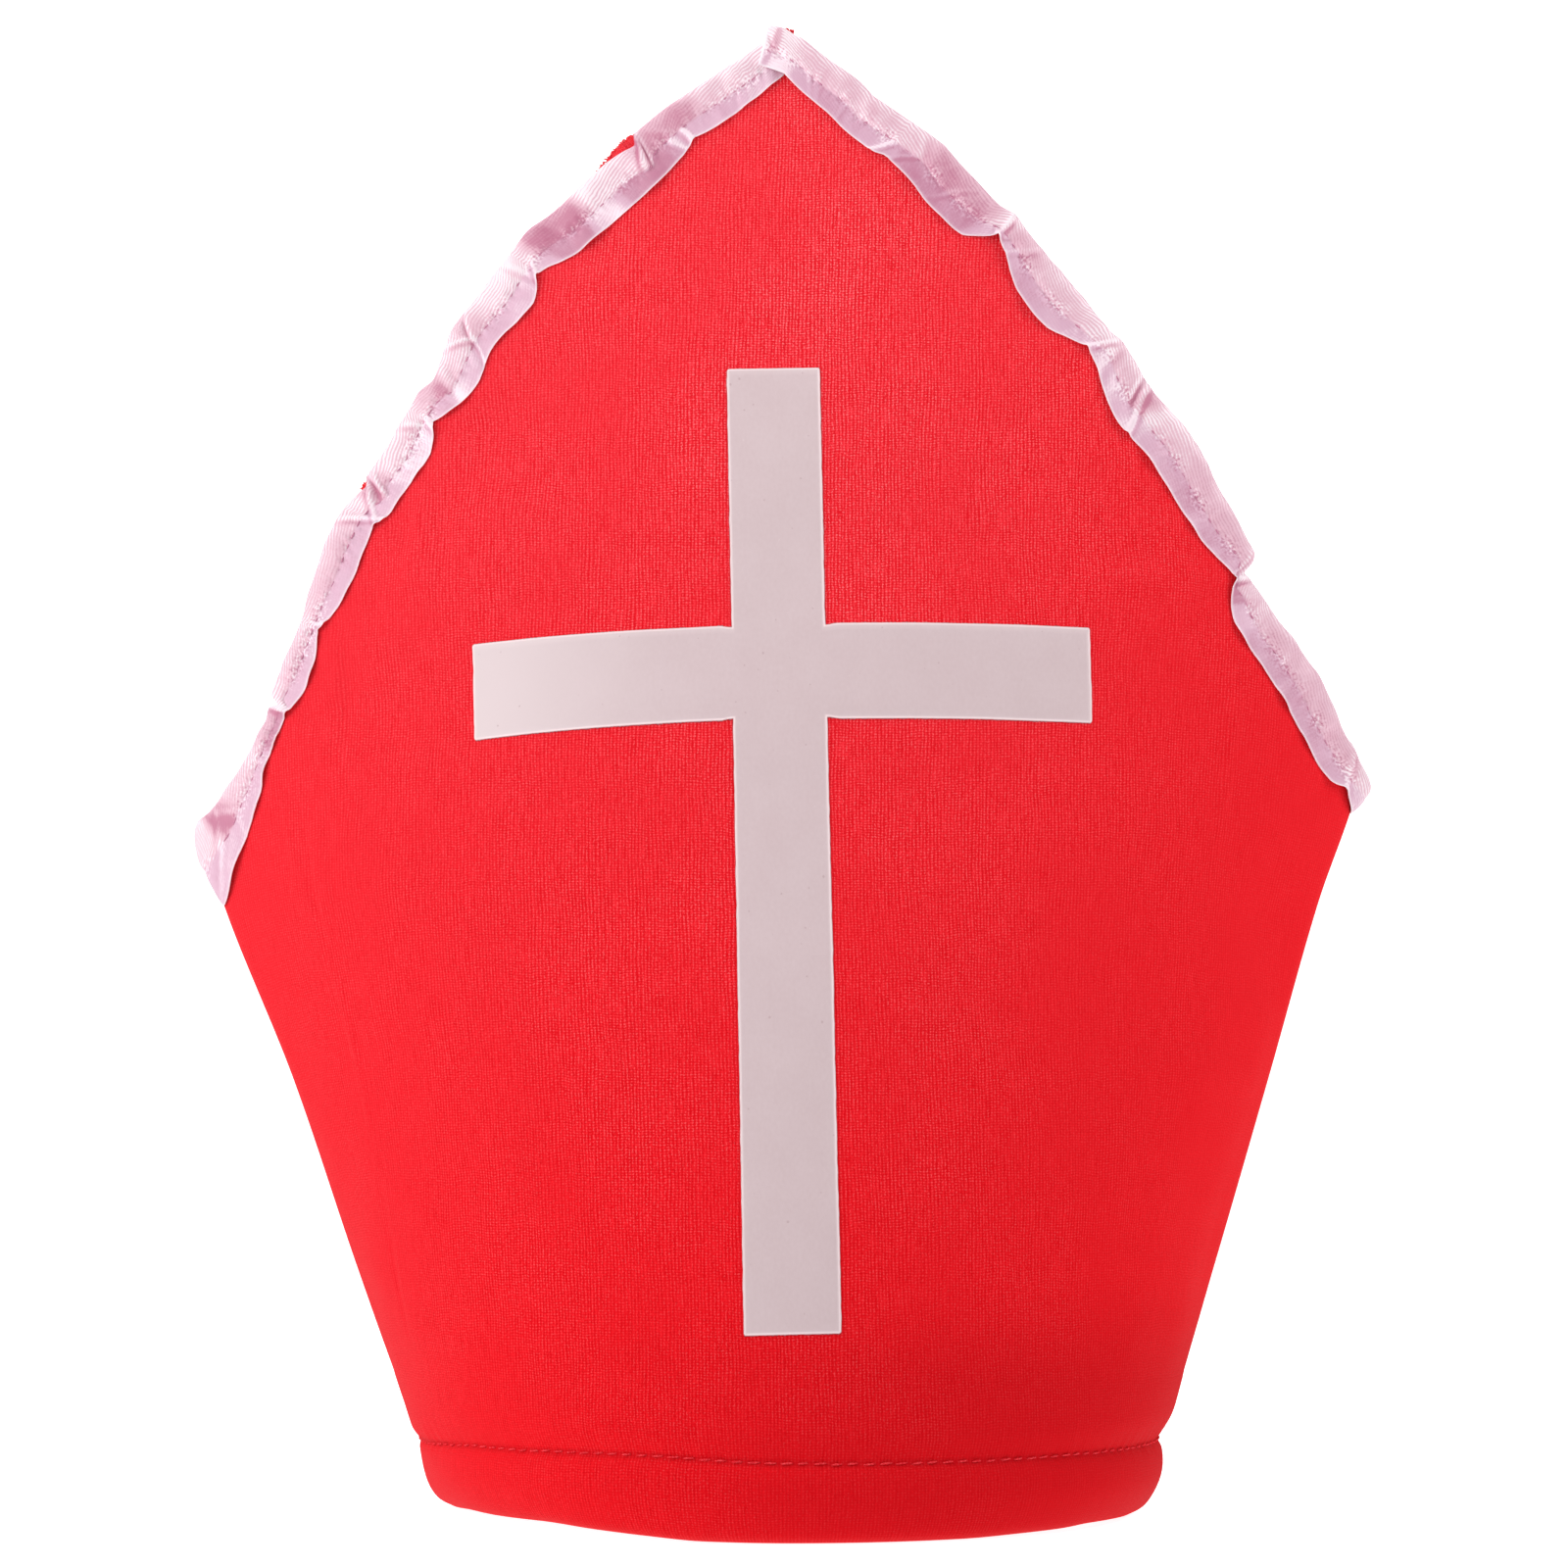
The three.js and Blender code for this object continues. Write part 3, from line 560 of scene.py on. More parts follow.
def panel_sections(facing, across, seed):
    """The panel's upright sections, round the wall from the hem: distances off the face and heights, with
    the distance round the panel from its middle and the distance to the nearer seam."""
    top = panel_top(facing, across)
    steep = np.abs(np.gradient(top, body_point(across, top)[:, 0]))[:, None]
    inner_top = (top - WALL * face_normal(across, top)[:, 2])[:, None]
    top = top[:, None]
    outside, inside = through(HEM_OUTSIDE, HEM_OUTSIDE_ROWS), through(HEM_INSIDE, HEM_INSIDE_ROWS)
    up = HEM_OUTSIDE[-1, 1] + 2
    up = up + np.linspace(0, 1, OUTER_ROWS) * (top - up)
    down = inner_top + np.linspace(0, 1, INNER_ROWS) * (HEM_INSIDE_TOP - inner_top)
    each = np.ones(top.shape)
    out = np.hstack([each * outside[:, 0], 0 * up, 0 * down - WALL, each * inside[:, 0]])
    z = np.hstack([each * outside[:, 1], up, down, each * inside[:, 1]])
    a = np.broadcast_to(across[:, None], z.shape)
    u = arc_length(a, z)
    to_seam = np.abs(arc_length(np.sign(a), z)) - np.abs(u)
    from_edge = (top - z) / np.sqrt(1 + steep**2)
    left, right = (EDGES[(side, facing)] for side in (LEFT, RIGHT))
    leg = np.where(a < 0, left.leg(left.length), right.leg(right.length))
    under_ribbon = 1 - smooth_step((top - z - leg + 3.2) / 4)
    full, bare = SEAM_ROUNDING
    rounding = (bare + (full - bare) * under_ribbon) * hill(to_seam, 1.5)
    relief = panel_relief(u, z, seed) * smooth_step((from_edge - 11.5) / 12)
    relief = relief + pinch_folds(body_point(a, z)[..., 0], z, facing)
    eased = relief * smooth_step(to_seam / 12) - rounding + hem_ease(u, z)
    outer = np.arange(z.shape[1]) < HEM_OUTSIDE_ROWS + OUTER_ROWS
    return out + np.where(outer, eased, 0), z, u, to_seam


def make_panel(name, facing):
    """One panel: a closed wall with its turned-in hem and rounded seam edges."""
    across = np.sin(np.linspace(-1, 1, PANEL_COLUMNS) * PANEL_CROWDING) / math.sin(PANEL_CROWDING)
    out, z, u, to_seam = panel_sections(facing, across, SEEDS[name])
    points = body_point(across[:, None], z, out)
    points[..., 1] += (SEAM_GAP / 2 + SEAM_OVERLAP) * hill(to_seam, 2.0)
    points[..., 1] *= facing
    run = running_length(points)
    points[..., 2] += hem_lift(u, z, facing)
    columns, rows = z.shape
    faces = [tuple(quad) for quad in grid_faces(columns, rows, close_columns=True)]
    for column, turned in ((0, True), (columns - 1, False)):
        outline = [Vector((*place, 0)) for place in zip(out[column], z[column])]
        faces += cap(outline, column * rows, turned)
    points = points.reshape(-1, 3)
    piece = add_object(name, points, outward(points, faces), np.stack([u, run], -1).reshape(-1, 2))
    column = np.arange(len(points)) // rows
    sharpen(piece, column == 0, column == columns - 1)
    return piece


def cap(outline, first, turned):
    """Triangles that fill an outline whose points are numbered from first. turned makes them look back."""
    area = sum(a.x * b.y - b.x * a.y for a, b in zip(outline, outline[1:] + outline[:1]))
    found = []
    for corners in tessellate_polygon([outline]):
        p, q, r = (outline[k] for k in corners)
        turn = (q.x - p.x) * (r.y - p.y) - (r.x - p.x) * (q.y - p.y)
        triangle = tuple(first + k for k in corners)
        found.append(triangle[::-1] if (turn * area > 0) == turned else triangle)
    return found


# Ribbons

# Where a section's points lie, as shares of the flap below the stitches, of the band above them, of the
# turn over the edge and of the hidden part.
FLAP = np.array([0.0, 0.04, 0.11, 0.22, 0.36, 0.50, 0.64, 0.78, 0.90, 1.0])
BAND = np.array([0.06, 0.14, 0.25, 0.37, 0.49, 0.61, 0.73, 0.84, 0.93, 1.0])
FOLD = np.linspace(0, math.pi, 11)[1:]
INSIDE = np.linspace(0.14, 1, 5)
STITCH_COLUMN = len(FLAP) - 1
SHOWN_COLUMNS = len(FLAP) + len(BAND) + 3
SQUARENESS = 2 / 3
RIBBON_OFF = RIBBON_GAP + RIBBON_CLOTH + 0.08
# tone carries the ribbon's painted sheen and painted shade; selvedge is its pale edge, partly a painted
# highlight.
RIBBON_VALUES = ("selvedge", "flap", "tone", "pucker")


def creases_of(edge, seed):
    """The table's creases and small ones between them, each row with its length and its bend."""
    draw = np.random.default_rng(seed)
    found = [(*row, 30.0, draw.uniform(-0.06, 0.06)) for row in CREASES[(edge.side, edge.facing)]]
    s = 8.0
    while s < edge.length - 8:
        found.append((s, draw.uniform(-0.6, 0.6), draw.uniform(-0.16, 0.22), draw.uniform(0.6, 1.6),
                      draw.choice((-1, 0, 1)), draw.uniform(2.0, 5.0), draw.uniform(-0.12, 0.12)))
        s += draw.uniform(2.5, 6.5)
    return found


def ribbon_profile(edge, s, seed):
    """The ribbon's smooth sections from its front selvedge to its hidden one, below the cut edge and off
    the face, with how far it reaches below the edge and where it is stitched."""
    on_edge = np.clip(s, 0, edge.length)
    leg, stitch, swell = edge.leg(on_edge), edge.stitch_drop(on_edge), edge.swell(on_edge)
    open_by = np.clip(0.02 + 0.16 * swell + 0.12 * ripple(s, 0 * s, seed, 13), 0.0, 0.5)
    plateau = 0.5 + 0.25 * swell + 0.18 * ripple(s, 0 * s, seed + 5, 15)
    drops = [leg - (leg - stitch) * f for f in FLAP] + [stitch * (1 - f) for f in BAND]
    offs = [RIBBON_OFF + open_by * (1 - f) ** 1.2 for f in FLAP]
    offs += [RIBBON_OFF + plateau * (1 - np.exp(-stitch * f / 0.8)) for f in BAND]
    outer, inner = offs[-1], -WALL - RIBBON_OFF
    each = np.ones_like(s)
    for t in FOLD:
        drops.append(-RIBBON_TOP * abs(math.sin(t)) ** SQUARENESS * each)
        level = math.copysign(abs(math.cos(t)) ** SQUARENESS, math.cos(t))
        offs.append((outer + inner) / 2 + (outer - inner) / 2 * level)
    for f in INSIDE:
        drops.append(RIBBON_INSIDE * f * each)
        offs.append(inner - 0.1 * f - 0.3 * math.sin(math.pi * f) * swell)
    return np.array(drops).T, np.array(offs).T, leg[:, None], stitch[:, None]


def crumple(along, drops, below, creases):
    """Height of the creases, and their glint: a painted highlight on the lit slope and painted shade on the
    other.
    """
    total, glint = 0.0, 0.0
    for place, slant, height, spread, part, length, bend in creases:
        t = (along - place - slant * below - bend * below * np.abs(below)) / spread
        far = np.abs(np.where(t > 0, t / 1.5, t / 0.7))
        reach = (0.5 + 0.5 * smooth_step((drops + 1.2) / 2.0)) * hill(below, length)
        if part:
            reach = reach * smooth_step(0.5 + part * below / 2.0)
        total = total + 1.3 * height * np.exp(-(far**1.5)) * reach
        lit, shaded = (0.0, 1.5) if height > 0 else (-1.5, 0.1)
        glint = glint + min(1.3, 1.9 * abs(height)) * (hill(t - lit, 0.75) - hill(t - shaded, 0.9)) * reach
    return total, glint


def ribbon_surface(edge, s, sections, lift, seed, creases, dimple=None):
    """Outer surface of the ribbon on the front panel's side, with what its material needs at each point."""
    drops, offs, leg, stitch = ribbon_profile(edge, s, seed)
    along = s[:, None]
    below = drops - stitch
    creased, glint = crumple(along, drops, below, creases)
    tug = -0.11 * np.cos(along * math.tau / STITCH_PITCH) * hill(below, 1.3)
    crush = 0.12 * ripple(along, drops, seed + 7, 2.4, 1.6) * hill(below, 2.0)
    sway = 0.22 * ripple(along, drops, seed + 9, 12, 2.5) * smooth_step(np.abs(below) / 2.0)
    front = np.arange(drops.shape[1]) < SHOWN_COLUMNS
    loose = np.maximum(creased + tug + crush + sway, -0.12 - 0.8 * (offs - RIBBON_OFF))
    offs = offs + np.where(front, loose, 0.12 * ripple(along, drops, seed + 11, 8))
    if dimple is not None:
        place, drop, depth, size = dimple
        offs = offs - depth * hill(along - place, size) * hill(drops - drop, size) * front
    puff, low = SHOULDER_PUFF[edge.side]
    lobe = np.sin(np.pi * np.clip((drops + RIBBON_TOP) / (leg + RIBBON_TOP), 0, 1)) ** 0.8
    to_end = edge.length - along
    swollen = hill(to_end, 4.5) * puff * lobe - hill(to_end) * low * smooth_step(drops / leg)
    offs = offs + np.where(front, swollen, 0)
    offs = offs + lift[:, None] * np.where(offs > -WALL / 2, 1, -1)
    points = place_section(*sections, drops, offs)
    run = running_length(points)
    flap = smooth_step(0.5 + below / 1.2)
    shifted = along + 0.3 * below
    # tone: painted sheen (pale) and painted shade (mauve) from the table, a painted highlight on the turn
    # over the edge, and the creases' painted highlights and shade. The selvedge's pale band is partly its
    # weave and partly a painted highlight.
    tone = edge.band_tone(shifted) * (1 - flap) + edge.flap_painted_sheen(shifted) * flap
    bunched = np.clip(0.6 + 0.5 * ripple(along, 0 * along, seed + 13, 11), 0.1, 1.3)
    return {
        "points": points, "cloth": np.stack([np.broadcast_to(along, drops.shape), run], -1),
        "selvedge": hill(np.minimum(run, run[:, -1:] - run), 0.36), "flap": flap,
        "tone": tone + 0.35 * (1 - smooth_step((drops + 1.5) / 3.0)) + glint,
        "pucker": hill(below, 1.6) * bunched,
    }


def place_section(top, way, seam, drops, offs):
    """Points off the face of the front panel, from distances below the cut edge and off the face."""
    top, way, drops = top[:, None], way[:, None], drops[..., None]
    point, normal = face_at(top + way * np.maximum(drops, 0))
    level = normal * [1, 0, 1]
    level = level / (level**2).sum(-1, keepdims=True)
    normal = normal + (level - normal) * seam[:, None, None]
    beyond = face_at(top + way)[0] - face_at(top)[0]
    points = point + normal * offs[..., None] + beyond * np.minimum(drops, 0)
    points[..., 1] += SEAM_GAP / 2 * seam[:, None]
    return points


def half_ribbon(side, facing, seed):
    """The ribbon on one slanted edge, from the point to the shoulder, on the front panel's side."""
    edge = EDGES[(side, facing)]
    s = np.linspace(0, edge.length, int(edge.length / RIBBON_STEP) + 1)
    creases = creases_of(edge, seed + 20)
    if side == LEFT:
        return ribbon_surface(edge, s, edge.sections(s), 0 * s, seed, creases)
    lift = LAP_LIFT * np.maximum(0, 1 - s / LAP_FADE) ** 1.3
    main = ribbon_surface(edge, s, edge.sections(s), lift, seed, creases, LAP_DIMPLE)
    end = lap_end(edge, seed, creases)
    return {key: np.concatenate([end[key], main[key]]) for key in main}


def lap_end(edge, seed, creases):
    """The right ribbon's folded end, which passes the point and lies on the left ribbon."""
    share = np.array([
        0.97, 0.995, 1.0, 0.99, 0.97, 0.93, 0.86, 0.77, 0.68, 0.58, 0.48, 0.38, 0.28, 0.18, 0.08])
    under = np.zeros(len(share))
    under[:5] = 0.85, 0.65, 0.4, 0.15, 0.04
    first, way, _ = edge.sections(np.zeros(1))
    leg = edge.leg(0.0)
    foot = first + way * leg
    top = first + (LAP_TOP - first) * share[:, None]
    bottom = foot + (LAP_FOOT - foot) * share[:, None]
    sections = (top, (bottom - top) / leg, 0 * share)
    end = ribbon_surface(edge, -LAP_WIDTH * share, sections, LAP_LIFT - under, seed, creases, LAP_DIMPLE)
    # The turned end's fold takes the selvedge's pale colour as a painted highlight along the fold.
    end["selvedge"] = np.maximum(end["selvedge"], hill(1 - share, 0.09)[:, None])
    return end


def make_ribbon(name, side):
    """One ribbon in a single length: down the front edge, round the shoulder and up the back edge."""
    front = half_ribbon(side, FRONT, SEEDS[name])
    back = half_ribbon(side, BACK, SEEDS[name] + 40)
    stitches = []
    for half in (front, back):
        s = half["cloth"][:, STITCH_COLUMN, 0].copy()
        stitches.append((s[s >= 0], stitch_line(half["points"])[s >= 0]))
    stitches[1][1][..., 1] *= -1
    back["points"][..., 1] *= -1
    back["cloth"][..., 0] = 2 * front["cloth"][-1, 0, 0] - back["cloth"][..., 0]
    front["points"][-1] = 0.5 * (front["points"][-1] + back["points"][-1])
    whole = {key: np.concatenate([front[key], back[key][-2::-1]]) for key in front}
    points = whole["points"]
    blend_shoulder(points, len(front["points"]) - 1)
    rows, columns = points.shape[:2]
    faces = grid_faces(rows, columns)
    if side == LEFT:
        faces = faces[:, ::-1]
    piece = add_object(name, points.reshape(-1, 3), faces, whole["cloth"].reshape(-1, 2))
    for key in RIBBON_VALUES:
        add_value(piece, key, whole[key].ravel())
    column = np.arange(rows * columns) % columns
    sharpen(piece, column == 0, column == columns - 1)
    skin = piece.modifiers.new("cloth", "SOLIDIFY")
    skin.thickness = RIBBON_CLOTH * MM
    skin.offset = -1
    return piece, stitches


def stitch_line(points):
    """The row of points along the stitches, each with the way that the surface looks there."""
    k = STITCH_COLUMN
    along = np.gradient(points[:, k], axis=0)
    across = points[:, k + 1] - points[:, k - 1]
    normal = unit(np.cross(along, across))
    facing = np.sign(-normal[:, 1:2])
    return np.stack([points[:, k], normal * facing], 1)


def blend_shoulder(points, middle, reach=9, rounds=12, strength=0.6):
    """Evens out the turn from the front edge to the back one."""
    for _ in range(rounds):
        part = points[middle - reach - 1:middle + reach + 2]
        even = (part[:-2] + part[2:]) / 2
        weight = np.cos(np.linspace(-math.pi / 2, math.pi / 2, len(even)))[:, None, None] * strength
        points[middle - reach:middle + reach + 1] += (even - part[1:-1]) * weight


# Stitches

def add_stitches(name, ends, thickness):
    """Short stretches of thread, each bent down at its ends. ends has start, finish and way up."""
    rings, sides = 7, 6
    points, faces = [], []
    for start, finish, up in ends:
        along = finish - start
        length = np.linalg.norm(along)
        along = along / length
        across = np.cross(along, up)
        across /= np.linalg.norm(across)
        rise = np.cross(across, along)
        faces += tube_faces(rings, sides, len(points))
        for t in np.linspace(0, 1, rings):
            bow = math.sin(math.pi * t)
            middle = start + along * length * t + rise * thickness * (1.3 * bow**0.6 - 0.8)
            radius = thickness * (0.55 + 0.45 * bow**0.5)
            for angle in np.linspace(0, math.tau, sides, endpoint=False):
                points.append(middle + radius * (math.cos(angle) * across * 1.15 + math.sin(angle) * rise))
    return add_object(name, points, faces, np.array(points)[:, ::2])


def ribbon_stitch_ends(lines, first, seed):
    """Start, finish and way up of each stitch along a ribbon's front and back rows."""
    draw = np.random.default_rng(seed)
    ends = []
    for s, line in lines:
        for s0 in np.arange(first, s[-1] - 6, STITCH_PITCH):
            start, finish = (np.array([[np.interp(at, s, line[:, i, k]) for k in range(3)] for i in (0, 1)])
                             for at in (s0, s0 + STITCH_LENGTH * draw.uniform(0.8, 1.1)))
            up = unit(start[1] + finish[1])
            rise = up * draw.uniform(0.04, 0.15)
            ends.append((start[0] + rise, finish[0] + rise, up))
    return ends


def hem_stitch_ends(seed):
    """Start, finish and way up of each stitch round the hem."""
    draw = np.random.default_rng(seed)
    ends = []
    z = HEM_STITCH_Z
    half = float(arc_length(1.0, z))
    for facing in (FRONT, BACK):
        for u in np.arange(-half + 2.5, half - 4, HEM_STITCH_PITCH):
            span = np.array([u, u + HEM_STITCH_LENGTH * draw.uniform(0.85, 1.1)]) / half
            level = z + draw.uniform(-0.12, 0.12)
            placed = body_point(span, np.array([level, level + 0.25]), HEM_STITCH_OUT + hem_ease(u, z))
            normal = face_normal(span[:1], np.array([z]))[0]
            placed[:, 1] *= facing
            placed[:, 2] += hem_lift(span * half, placed[:, 2], facing)
            ends.append((placed[0], placed[1], normal * np.array([1, facing, 1])))
    return ends


# The printed cross

def cross_distance(across, up, height):
    """How far inside the cross's outline each place lies."""
    upright = np.minimum(CROSS_HALF - np.abs(across), np.minimum(up, height - up))
    arms = np.minimum(across + CROSS_ARMS[LEFT], CROSS_ARMS[RIGHT] - across)
    return np.maximum(upright, np.minimum(CROSS_HALF - np.abs(up - CROSS_ARM_AT), arms))


def round_corners(a, b, height):
    """The places a, b with those near the cross's eight outer corners drawn onto small rounds."""
    corners = [(side * CROSS_HALF, up) for side in (LEFT, RIGHT) for up in (0, height)]
    corners += [(side * CROSS_ARMS[side], CROSS_ARM_AT + up * CROSS_HALF)
                for side in (LEFT, RIGHT) for up in (-1, 1)]
    for ca, cb in corners:
        sa = -1 if ca > 0 else 1
        sb = -1 if cb > CROSS_ARM_AT else 1
        p = CROSS_ROUND - (a - ca) * sa
        q = CROSS_ROUND - (b - cb) * sb
        near = (p > 0) & (q > 0) & (np.maximum(p, q) <= CROSS_ROUND + 1e-6)
        scale = np.maximum(p, q) / np.maximum(np.hypot(p, q), 1e-9)
        a = np.where(near, ca + sa * (CROSS_ROUND - p * scale), a)
        b = np.where(near, cb + sb * (CROSS_ROUND - q * scale), b)
    return a, b


def film_grid(height):
    """Places across and up the film's grid, its cells by corner, and each cell's sides on the outline."""
    rim = np.array([0, 0.1, 0.24, 0.42, 0.7])

    def marks(stops, step):
        """Marks from stop to stop, with close ones inside each stop."""
        found = [[*(low + rim), *np.arange(low + 0.9, high - 0.9, step), *(high - rim)]
                 for low, high in zip(stops[:-1], stops[1:])]
        return np.unique(np.round(sum(found, []), 4))

    u = marks([-CROSS_ARMS[LEFT], -CROSS_HALF, CROSS_HALF, CROSS_ARMS[RIGHT]], 0.45)
    v = marks([0, CROSS_ARM_AT - CROSS_HALF, CROSS_ARM_AT + CROSS_HALF, height], 1.1)
    filled = cross_distance((u[1:, None] + u[:-1, None]) / 2, (v[1:] + v[:-1]) / 2, height) > 0
    around = np.pad(filled, 1)
    used = around[1:, 1:] | around[:-1, 1:] | around[1:, :-1] | around[:-1, :-1]
    number = np.cumsum(used).reshape(used.shape) - 1
    cells, brink = [], []
    for i, j in zip(*np.nonzero(filled)):
        ring = [number[i, j], number[i + 1, j], number[i + 1, j + 1], number[i, j + 1]]
        cells.append(ring)
        beside = [around[i + 1, j], around[i + 2, j + 1], around[i + 1, j + 2], around[i, j + 1]]
        brink.append([(ring[k], ring[(k + 1) % 4]) for k in range(4) if not beside[k]])
    i, j = np.nonzero(used)
    return u[i], v[j], cells, brink


def make_cross(name):
    """The printed film: a thin sheet of ink with a slightly raised rim."""
    height = float(np.linalg.norm(CROSS_HEAD - CROSS_FOOT))
    lean = (CROSS_HEAD - CROSS_FOOT) / height
    a, b, cells, brink = film_grid(height)
    inside = cross_distance(a, b, height)
    on_level = (np.abs(b) < 1e-3) | (np.abs(b - height) < 1e-3) | (
        (np.abs(np.abs(b - CROSS_ARM_AT) - CROSS_HALF) < 1e-3) & (np.abs(a) > CROSS_HALF - 1e-3))
    teeth = 0.13 * np.sin(a * math.tau / 0.9) + 0.06 * ripple(a, b, 5, 1.3)
    step = np.where(on_level & (inside < 1e-3), teeth, 0)
    wobble = np.where(inside < 0.7, 0.035 * ripple(b, a, 6, 5), 0)
    across, up = round_corners(a, b, height)
    on_arm = smooth_step((np.abs(a) - CROSS_HALF) / 3) * CROSS_ARM_SPREAD
    up = up + (up - CROSS_ARM_AT) * on_arm
    up = up - np.where(a < 0, CROSS_DROOPS[LEFT], CROSS_DROOPS[RIGHT]) * (a / CROSS_ARMS[RIGHT]) ** 2
    x = CROSS_FOOT[0] + lean[0] * up + lean[1] * (across + wobble)
    z = CROSS_FOOT[1] + lean[1] * (up + step) - lean[0] * across
    point, normal = face_at(np.stack([x, z], -1))
    relief = panel_relief(arc_length(across_at(x, z), z), z, SEEDS["front_cloth"]) * above_hem(z)
    lift = PRINT_LIFT * smooth_step(inside / 0.16) + 0.08 * hill(inside - 0.25, 0.15)
    top = point + normal * (relief + 0.06 + lift)[:, None]
    under = point + normal * (relief - 0.35)[:, None]
    faces, count = [], len(a)
    for ring, sides in zip(cells, brink):
        faces += [tuple(ring), tuple(count + k for k in reversed(ring))]
        faces += [(count + start, count + end, end, start) for start, end in sides]
    points = np.vstack([top, under])
    piece = add_object(name, points, outward(points, faces), np.tile(np.stack([a, b], -1), (2, 1)))
    # rim marks where the painted highlight on the raised rim goes, brink where the painted shadow at the
    # outline goes.
    add_value(piece, "rim", np.tile(hill(inside - 0.34, 0.3), 2))
    add_value(piece, "brink", np.tile(hill(inside, 0.12), 2))
    return piece


# Frayed cloth past the ribbon

SCRAPS = [  # along the left edge, outer end over the smooth cut edge
    [[43.2, 1.8], [43.8, 2.3], [46.0, 2.5], [48.0, 2.2], [50.0, 2.0], [52.5, 1.6], [56.5, 0.8]],
    [[150.0, 1.5], [151.0, 2.2], [152.5, 2.3], [153.6, 1.6]],
]
SCRAP_STEP = 0.22
FIBRES_PER_MM = 9
PEAK_FIBRES = 40
PEAK_FIBRES_AT = np.array([1.4, -24.6, 364.3])


def make_frays(name):
    """Scraps of the red cut edge that show outside the ribbon, with loose fibres."""
    seed = SEEDS[name]
    draw = np.random.default_rng(seed)
    edge = EDGES[(LEFT, FRONT)]
    points, faces = [], []

    def add_fibre(path, radius, sides=5):
        faces.extend(tube_faces(len(path), sides, len(points)))
        for i, p in enumerate(path):
            along = unit(path[min(i + 1, len(path) - 1)] - path[max(i - 1, 0)])
            side = unit(np.cross(along, [0, 1, 0.1]))
            other = np.cross(side, along)
            for k in range(sides):
                angle = math.tau * k / sides
                points.append(p + radius * (math.cos(angle) * side + math.sin(angle) * other))

    for rows in SCRAPS:
        reach = Curve(rows)
        s = np.arange(reach.x[0], reach.x[-1], SCRAP_STEP)
        point, inward = edge.at(s)
        ragged = reach(s) + 0.16 * ripple(s, 0 * s, seed, 0.9) + 0.1 * ripple(s, 0 * s, seed + 1, 2.5)
        feet, tips = face_at(point + inward * 2.5)[0], face_at(point)[0]
        inner = np.array([0, WALL * 0.8, 0])
        bulge = np.array([0, WALL * 0.12, 0])
        faces.extend(tube_faces(len(s), 6, len(points)))
        for foot, tip, way, length in zip(feet, tips, -inward, ragged):
            way = np.array([way[0], 0, way[1]])
            top = tip + way * length
            points.extend([foot + bulge, top - way * 0.5 + bulge, top + inner * 0.3, top + inner * 0.7,
                           top - way * 0.5 + inner, foot + inner])
        for _ in range(int(FIBRES_PER_MM * (s[-1] - s[0]))):
            at = draw.uniform(s[0], s[-1])
            (centre,), (way,) = edge.at(np.array([at]))
            way = np.array([-way[0], 0, -way[1]])
            root = face_at(centre)[0] + way * (reach(at) - 0.4)
            root = root + np.array([0, draw.uniform(0.2, WALL * 0.8), 0])
            side = np.array([way[2], 0, -way[0]])
            length, bend, sag = draw.uniform(0.4, 1.0), draw.uniform(-0.7, 0.7), draw.uniform(-0.2, 0.2)
            add_fibre([root + way * length * t + side * bend * t * t + np.array([0, sag, 0]) * t
                       for t in np.linspace(0, 1, 4)], draw.uniform(0.09, 0.15))
    for _ in range(PEAK_FIBRES):
        root = PEAK_FIBRES_AT + draw.uniform((-1.0, 0.0, -0.7), (1.0, 1.6, 0.0))
        tip = draw.uniform((-0.4, -0.3, 0.4), (0.7, 0.3, 0.9))
        add_fibre([root + tip * t for t in np.linspace(0, 1, 4)], 0.16)
    return add_object(name, points, faces, np.array(points)[:, ::2])


# Materials

class Value:
    """A number or colour that varies over a surface. Its arithmetic is done by nodes."""

    def __init__(self, nodes, socket):
        self.nodes, self.socket = nodes, socket

    def __add__(self, other):
        return self.nodes.math("ADD", self, other)

    def __sub__(self, other):
        return self.nodes.math("SUBTRACT", self, other)

    def __rsub__(self, other):
        return self.nodes.math("SUBTRACT", other, self)

    def __mul__(self, other):
        return self.nodes.math("MULTIPLY", self, other)

    __rmul__ = __mul__


